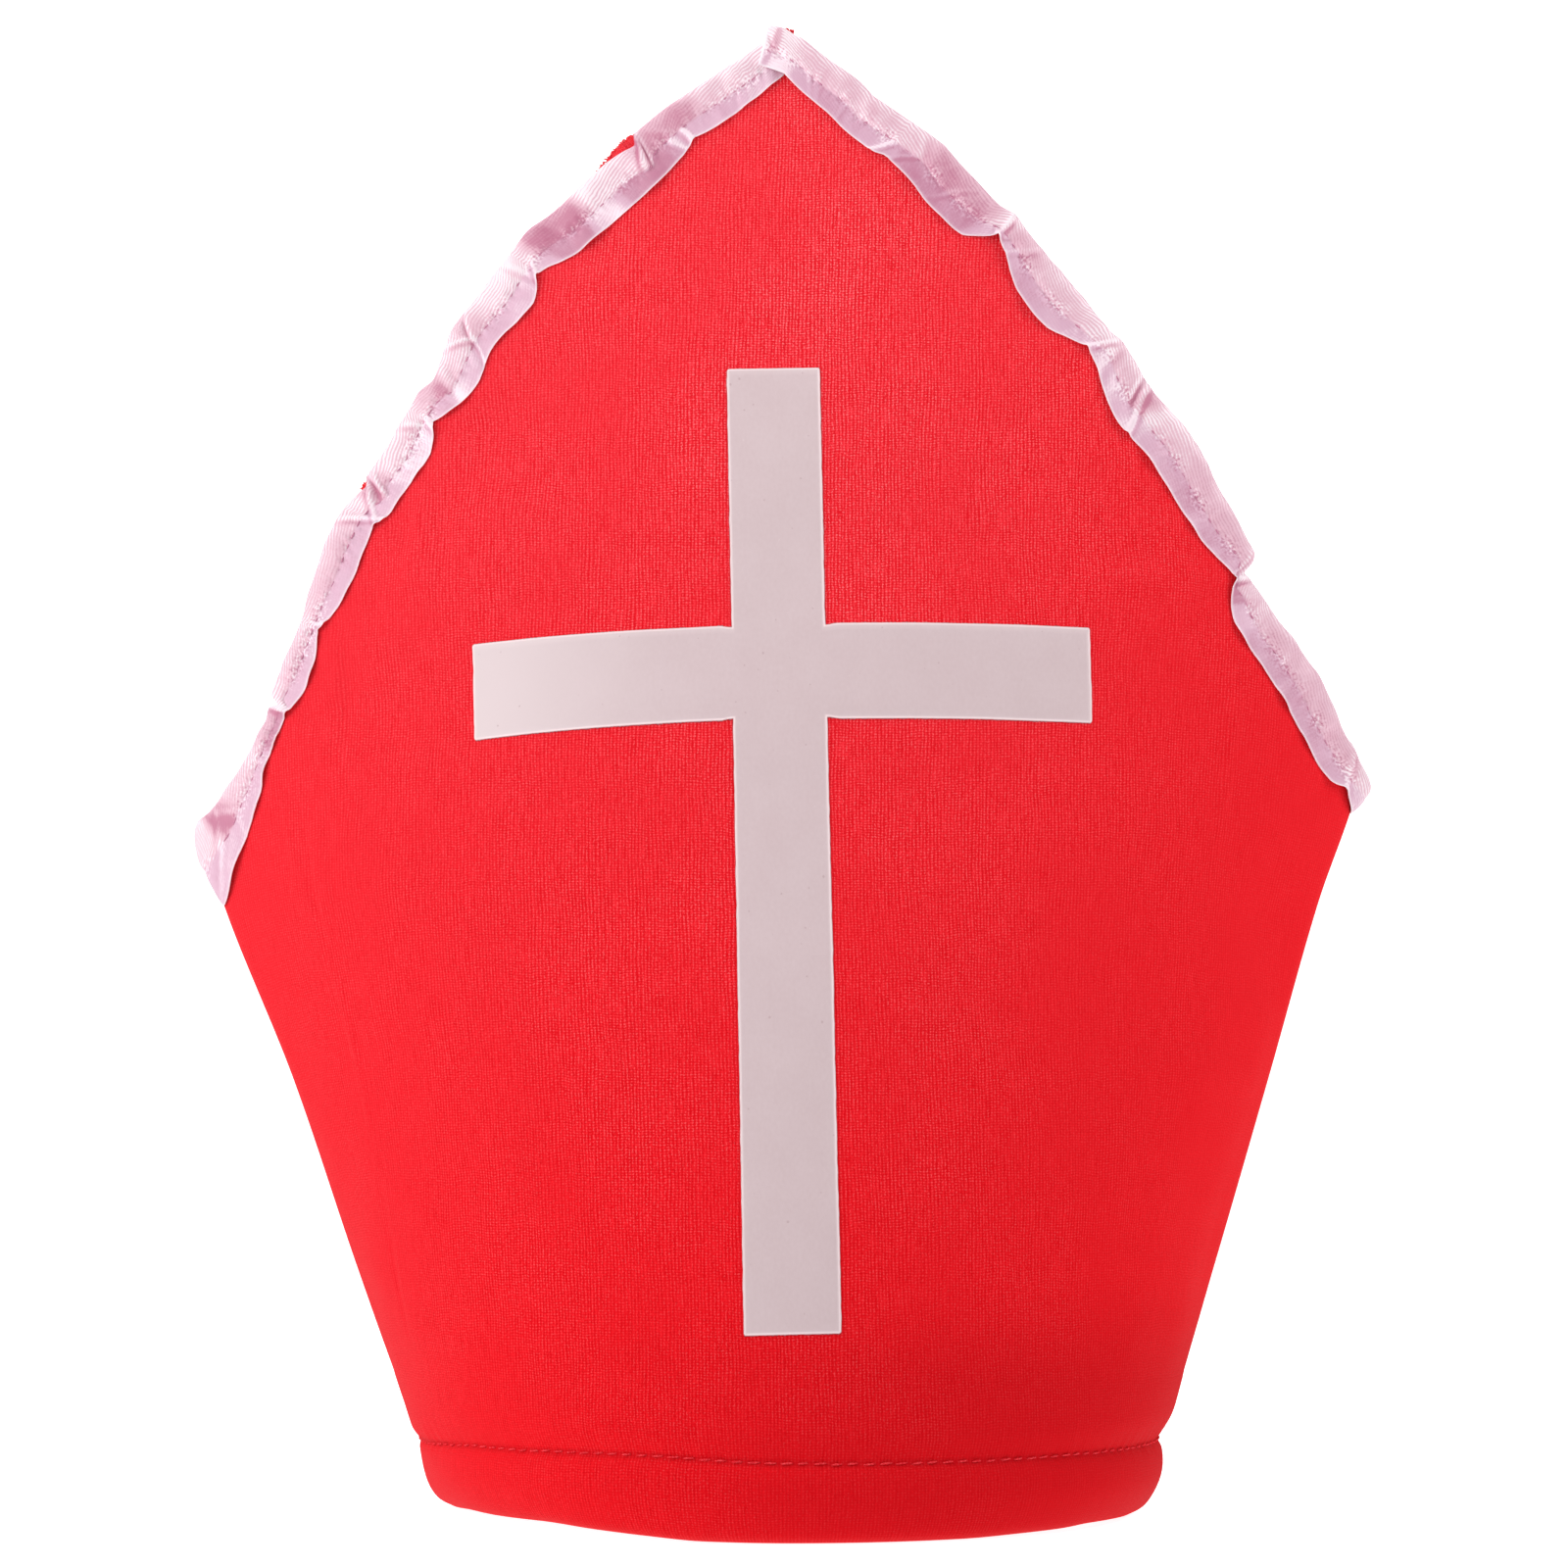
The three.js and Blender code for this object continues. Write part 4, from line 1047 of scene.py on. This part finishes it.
class Nodes:
    """A node tree under construction."""

    def __init__(self, tree):
        self.tree = tree

    def add(self, kind, settings=(), **inputs):
        """A node of a kind, with its settings and inputs."""
        node = self.tree.nodes.new("ShaderNode" + kind)
        for key, value in dict(settings).items():
            setattr(node, key, value)
        for key, value in inputs.items():
            self.set(node, key.replace("_", " "), value)
        return node

    def set(self, node, key, value):
        """Gives an input its value, by the input's name or number."""
        if isinstance(value, Value):
            self.tree.links.new(value.socket, node.inputs[key])
        else:
            node.inputs[key].default_value = value

    def out(self, node, key=0):
        return Value(self, node.outputs[key])

    def math(self, what, *values):
        node = self.add("Math", {"operation": what})
        for i, value in enumerate(values):
            self.set(node, i, value)
        return self.out(node)

    def split(self, vector):
        """The three parts of a vector."""
        node = self.add("SeparateXYZ", Vector=vector)
        return [self.out(node, k) for k in range(3)]

    def wave(self, value, length):
        return self.math("SINE", value * (math.tau / length))

    def cloth(self, across=1.0, up=1.0):
        """The cloth's own coordinates, in millimetres, scaled."""
        where = self.out(self.add("UVMap", {"uv_map": "cloth"}))
        return self.out(self.add("Mapping", Vector=where, Scale=(across, up, 1.0)))

    def noise(self, size, stretch=1.0, detail=2.0, roughness=0.5):
        """Noise with grains about size millimetres wide and stretch times as long."""
        where = self.cloth(1 / size, 1 / (size * stretch))
        return self.out(self.add("TexNoise", Vector=where, Scale=1.0, Detail=detail, Roughness=roughness))

    def ramp(self, value, low, high, to=(0.0, 1.0), kind="SMOOTHSTEP"):
        """The value's part between low and high, spread over the numbers in to."""
        node = self.add("MapRange", {"interpolation_type": kind}, Value=value, From_Min=low, From_Max=high,
                        To_Min=to[0], To_Max=to[1])
        return self.out(node)

    def mix(self, share, a, b):
        node = self.add("Mix", {"data_type": "RGBA"})
        for key, value in ((0, share), (6, a), (7, b)):
            self.set(node, key, value)
        return self.out(node, 2)

    def point_value(self, name):
        """The number that a piece holds for each of its points."""
        return self.out(self.add("Attribute", {"attribute_name": name}), "Fac")

    def bump(self, height, depth, strength):
        return self.out(self.add("Bump", Height=height, Distance=depth * MM, Strength=strength))


class Finish(Nodes):
    """A material under construction."""

    def __init__(self, name):
        self.material = bpy.data.materials.new(name)
        self.material.use_nodes = True
        super().__init__(self.material.node_tree)

    def finish(self, **inputs):
        for key, value in inputs.items():
            self.set(self.tree.nodes["Principled BSDF"], key.replace("_", " "), value)
        return self.material


def linear(red, green, blue):
    """A screen colour, 0 to 255, as the shader's numbers."""
    def one(c):
        c /= 255
        return c / 12.92 if c <= 0.04045 else ((c + 0.055) / 1.055) ** 2.4
    return (one(red), one(green), one(blue), 1.0)


def knit_finish(name):
    """Fine warp knit: upright wales with a small painted sparkle on each loop, clearer towards the middle
    of the panel; a painted sheen that makes the red paler towards the top and at the left edge; painted
    shade on the hem and along its stitched groove.
    """
    f = Finish(name)
    side, up, _ = f.split(f.cloth())
    waver = f.noise(7.0, 3.0) * 1.5
    weave = f.wave(side + waver, 0.86) * 0.30 + f.wave(up + waver, 0.64) * 0.20
    streak, grain = f.noise(0.45, 14.0, 2.0, 0.6), f.noise(0.36, 1.6, 2.0, 0.7)
    high = f.ramp(up, 120.0, 330.0)
    off_middle = f.math("DIVIDE", side - (high * 44.0 - 8.0), 92.0)
    middle = f.math("POWER", 2.718, off_middle * off_middle * -1.0)
    cloudy = f.ramp(f.noise(30.0, 1.3, 3.0), 0.3, 0.7)
    clear = (middle * 0.85 + 0.15) * (cloudy * 0.8 + 0.6)
    clear = clear * (high * 0.42 + 0.98) * (f.ramp(up, 24.0, 38.0) * 0.45 + 0.55)
    relief = (streak - 0.5) * 2.0 + (grain - 0.5) * 2.6 + weave
    tone = f.ramp(relief * clear + 0.5, 0.0, 1.0)
    # Painted sheen: the red paler towards the top and at the left edge, weaker towards the right, as the
    # light falls on the panel.
    painted_red_sheen = f.ramp(up, -40.0, 370.0) * (1.0 - f.ramp(side, 10.0, 150.0) * 0.45)
    painted_red_sheen = painted_red_sheen + f.ramp(side, -20.0, -110.0) * 0.14
    painted_red_sheen = painted_red_sheen + f.ramp(side, -78.0, -122.0) * f.ramp(up, 150.0, 40.0) * 0.12
    # Deep red below, and a paler red above where the painted sheen lies on it.
    low = f.mix(tone, (0.77, 0.0025, 0.0070, 1), (0.97, 0.0110, 0.0185, 1))
    top = f.mix(tone, (0.82, 0.0110, 0.0210, 1), (1.00, 0.0500, 0.0700, 1))
    colour = f.mix(painted_red_sheen, low, top)
    # Painted sparkle: glints on the knit's loops, brighter where the painted sheen lies and fading with
    # clear.
    painted_sparkle_spots = f.ramp(f.noise(0.4, 1.3, 1.0, 0.5) + weave * 0.4, 0.56, 0.76)
    loops = f.mix(painted_red_sheen, (1.00, 0.08, 0.09, 1), (1.00, 0.20, 0.22, 1))
    colour = f.mix(painted_sparkle_spots * (clear * 0.6), colour, loops)
    # Painted shade on the hem, deepest towards its middle and right.
    folded = (1.0 - f.ramp(up, 36.0, 66.0)) * f.ramp(side, -75.0, 60.0)
    colour = f.mix(folded * 0.4, colour, (0.50, 0.0040, 0.0080, 1))
    # Painted shade in the groove along the hem's stitches.
    painted_groove_shade = f.ramp(f.math("ABSOLUTE", up - HEM_STITCH_UP), 1.5, 0.2)
    colour = f.mix(painted_groove_shade * 0.3, colour, (0.42, 0.0030, 0.0080, 1))
    return f.finish(
        Base_Color=colour, Normal=f.bump(relief, 0.08, 0.5), Roughness=0.8, Specular_IOR_Level=0.0,
        Sheen_Weight=0.09, Sheen_Roughness=0.4)


def satin_finish(name):
    """Pinkish white satin: twill lines, fine picks across, a pale woven selvedge that is partly a painted
    highlight, pale and mauve reaches that are painted sheen and painted shade, and painted sparkle where it
    puckers.
    """
    f = Finish(name)
    along, across, _ = f.split(f.cloth())
    selvedge, flap, tone, pucker = (f.point_value(key) for key in RIBBON_VALUES)
    twill = f.wave(across + along * 0.28 + f.noise(9.0) * 3.2, 0.85)
    picks = f.noise(0.34, 9.0, 2.0, 0.6)
    shade = tone * 0.95 + (f.noise(7.0, 1.0, 3.0) - 0.5)
    lined = (f.ramp(shade, -0.9, 0.9) * 0.48 + 0.12) * (1.0 - flap * 0.75)
    # Painted sparkle where the ribbon puckers at its stitches.
    painted_pucker_sparkle = (f.noise(0.6, 1.3, 1.0, 0.5) - 0.48) * pucker
    fine = (picks - 0.5) * 0.8 + (f.noise(0.5, 1.0, 2.0, 0.6) - 0.5) * 0.6 + painted_pucker_sparkle * 5.0
    shade = shade + (twill * lined + fine)
    # Mauve is painted shade and pale is painted sheen, for the band and for the flap.
    dark, light = f.ramp(shade, -1.2, 0.05), f.ramp(shade, 0.05, 1.2)
    band = f.mix(light, f.mix(dark, linear(198, 120, 148), linear(232, 186, 202)), linear(255, 238, 245))
    under = f.mix(light, f.mix(dark, linear(198, 128, 155), linear(222, 176, 198)), linear(255, 232, 242))
    colour = f.mix(selvedge * 0.75, f.mix(flap, band, under), linear(255, 246, 252))
    way = f.out(f.add("Tangent", {"direction_type": "UV_MAP", "uv_map": "cloth"}))
    return f.finish(
        Base_Color=colour, Normal=f.bump(picks * 0.5 + twill * 0.25, 0.08, 0.5), Roughness=0.36,
        Specular_IOR_Level=0.5, Anisotropic=0.5, Tangent=way, Sheen_Weight=0.05, Sheen_Roughness=0.3)


def film_finish(name):
    """Matte printed film with faint specks, a painted highlight on its raised rim, a painted shadow at its
    brink, and its left arm painted paler as if lit from the left.
    """
    f = Finish(name)
    tone = f.noise(9.0, 1.5, 4.0, 0.6) * 0.5 + f.noise(0.8, 1.5, 2.0, 0.6) * 0.5
    colour = f.mix(f.ramp(tone, 0.2, 0.8), linear(213, 190, 193), linear(219, 198, 201))
    across = f.split(f.cloth())[0]
    # Painted light: the left arm paler, as lit from the left.
    colour = f.mix(f.ramp(across, -15.0, -78.0), colour, linear(231, 213, 215))
    specks = f.ramp(f.noise(0.9, 1.6, 1.0), 0.77, 0.84)
    colour = f.mix(specks * 0.4, colour, linear(234, 218, 219))
    pits = f.ramp(f.noise(1.1, 1.2, 0.0), 0.18, 0.12)
    colour = f.mix(pits * 0.45, colour, linear(182, 146, 152))
    # Painted highlight along the raised rim, and painted shadow at the brink where the film meets the
    # cloth.
    colour = f.mix(f.point_value("rim") * 0.9, colour, linear(255, 234, 236))
    colour = f.mix(f.point_value("brink"), colour, linear(150, 20, 40))
    return f.finish(
        Base_Color=colour, Normal=f.bump(tone, 0.06, 0.35), Roughness=0.65, Specular_IOR_Level=0.2)


def thread_finish(name, light, dark, gloss):
    """Twisted thread."""
    f = Finish(name)
    twist = f.math("SINE", f.noise(0.3) * 20.0)
    colour = f.mix(f.ramp(twist, -1.0, 1.0), dark, light)
    return f.finish(
        Base_Color=colour, Normal=f.bump(twist, 0.03, 0.4), Roughness=0.5, Specular_IOR_Level=gloss)


def floor_finish(name):
    """Pale paper, evenly lit."""
    f = Finish(name)
    grain = f.out(f.add("TexNoise", Vector=f.out(f.add("TexCoord"), "Object"), Scale=3.0, Detail=2.0))
    return f.finish(
        Base_Color=f.mix(grain, (0.93, 0.93, 0.93, 1), (0.95, 0.95, 0.95, 1)), Roughness=0.9,
        Specular_IOR_Level=0.0, Emission_Color=(1.0, 1.0, 1.0, 1.0), Emission_Strength=0.9)


def dress(piece, material, slot, *nodes):
    """Gives a piece its material and its body, and hides the frame's parts that it stands for. slot is not
    used.
    """
    piece.data.materials.clear()
    piece.data.materials.append(material)
    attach(piece, "root")
    if nodes:
        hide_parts(*nodes)
    return piece


# The cap

knit = knit_finish("red_knit")
satin = satin_finish("satin_ribbon")
film = film_finish("print_film")
red_thread = thread_finish("red_thread", linear(255, 84, 92), linear(228, 28, 42), 0.0)
# Pink thread, darkened partly as painted shade for the grooves it lies in.
pink_thread = thread_finish("pink_thread", linear(226, 156, 182), linear(190, 112, 146), 0.4)

front_cloth = dress(make_panel("front_cloth", FRONT), knit, "red_knit", "front_panel")
back_cloth = dress(make_panel("back_cloth", BACK), knit, "red_knit", "back_panel")
left_ribbon, left_rows = make_ribbon("left_ribbon", LEFT)
right_ribbon, right_rows = make_ribbon("right_ribbon", RIGHT)
dress(left_ribbon, satin, "satin_ribbon", "left_binding")
dress(right_ribbon, satin, "satin_ribbon", "right_binding")
dress(make_cross("printed_cross"), film, "print_film", "cross_print")
hem_ends = hem_stitch_ends(SEEDS["hem_stitches"])
dress(add_stitches("hem_stitches", hem_ends, HEM_THREAD), red_thread, "red_knit")
for name, side, rows in (
        ("left_ribbon_stitches", LEFT, left_rows), ("right_ribbon_stitches", RIGHT, right_rows)):
    ends = ribbon_stitch_ends(rows, STITCH_START[side], SEEDS[name])
    dress(add_stitches(name, ends, THREAD), pink_thread, "satin_ribbon")
dress(make_frays("frayed_edge"), red_thread, "red_knit")


# Floor, light and camera

SKY_UP = (0.6, 1.0)  # from below and from above
SKY_LEFT, SKY_MIDDLE, SKY_RIGHT = 0.50, 0.13, 0.26
SKY_GROUND = (0.88, 1.4)  # from the left and from the right
LIGHTS = {  # place, what it looks at, size and power
    "key": ((-0.5, -0.7, 0.75), (0, 0, 0.25), 0.7, 2.44),
    "left": ((-1.2, -0.6, 0.5), (0, 0, 0.2), 1.2, 7.75),
    "right": ((0.78, -0.30, 0.69), (0, 0, 0.2), 0.6, 4.0),
    "top": ((-0.2, 0.1, 1.5), (0, 0, 0.2), 1.2, 7.1),
}
CAMERA_AT = (0, -1.250, 0.110)
CAMERA_TILT = 93.2
SENSOR_WIDTH = 36
PHOTO_WIDTH = 1600
FOCAL_PIXELS = 5129


def make_stage():
    """A floor that curves up into a backdrop."""
    width, near, far, height, bend = 13.0, -6.5, 2.2, 4.0, 0.8
    turns = np.linspace(0.1, math.pi / 2, 14)
    profile = [(near, 0.0), (far - bend, 0.0)]
    profile += [(far - bend + bend * math.sin(t), bend * (1 - math.cos(t))) for t in turns]
    profile.append((far, height))
    points = [(x, y, z - 0.0002) for y, z in profile for x in (-width / 2, width / 2)]
    stage = add_object("stage_floor", np.array(points) / MM, grid_faces(len(profile), 2))
    stage.data.materials.append(floor_finish("pale_floor"))
    stage.visible_diffuse = False


def make_sky():
    """Studio light: the sides stronger than the middle, and the pale floor's light from below."""
    world = bpy.data.worlds.new("studio")
    world.use_nodes = True
    sky = Nodes(world.node_tree)
    x, _, z = sky.split(sky.out(sky.add("TexCoord"), "Generated"))
    upward = sky.ramp(z, -0.8, 0.8, SKY_UP, "LINEAR")
    sides = sky.ramp(x, -0.8, 0.0, (SKY_LEFT, SKY_MIDDLE), "LINEAR")
    sides = sides + sky.ramp(x, 0.0, 0.8, (0.0, SKY_RIGHT - SKY_MIDDLE), "LINEAR")
    ground = sky.ramp(z, -0.4, 0.0, (1.0, 0.0), "LINEAR") * sky.ramp(x, -0.2, 0.8, SKY_GROUND, "LINEAR")
    background = world.node_tree.nodes["Background"]
    background.inputs["Color"].default_value = (1, 1, 1, 1)
    sky.set(background, "Strength", upward * sides + ground)
    bpy.context.scene.world = world


def add_light(name, place, target, size, power):
    """A round soft light."""
    light = bpy.data.lights.new(name, "AREA")
    light.shape = "DISK"
    light.size = size
    light.energy = power
    lamp = bpy.data.objects.new(name, light)
    lamp.location = place
    lamp.rotation_euler = (Vector(target) - Vector(place)).to_track_quat("-Z", "Y").to_euler()
    bpy.context.collection.objects.link(lamp)


def add_camera():
    """The photograph's view."""
    camera = bpy.data.cameras.new("camera")
    camera.sensor_width = SENSOR_WIDTH
    camera.lens = FOCAL_PIXELS / PHOTO_WIDTH * SENSOR_WIDTH
    view = bpy.data.objects.new("camera", camera)
    view.location = CAMERA_AT
    view.rotation_euler = (math.radians(CAMERA_TILT), 0, 0)
    bpy.context.collection.objects.link(view)
    bpy.context.scene.camera = view


make_stage()
make_sky()
for name, settings in LIGHTS.items():
    add_light(name, *settings)
add_camera()
bpy.context.scene.view_settings.view_transform = "Standard"
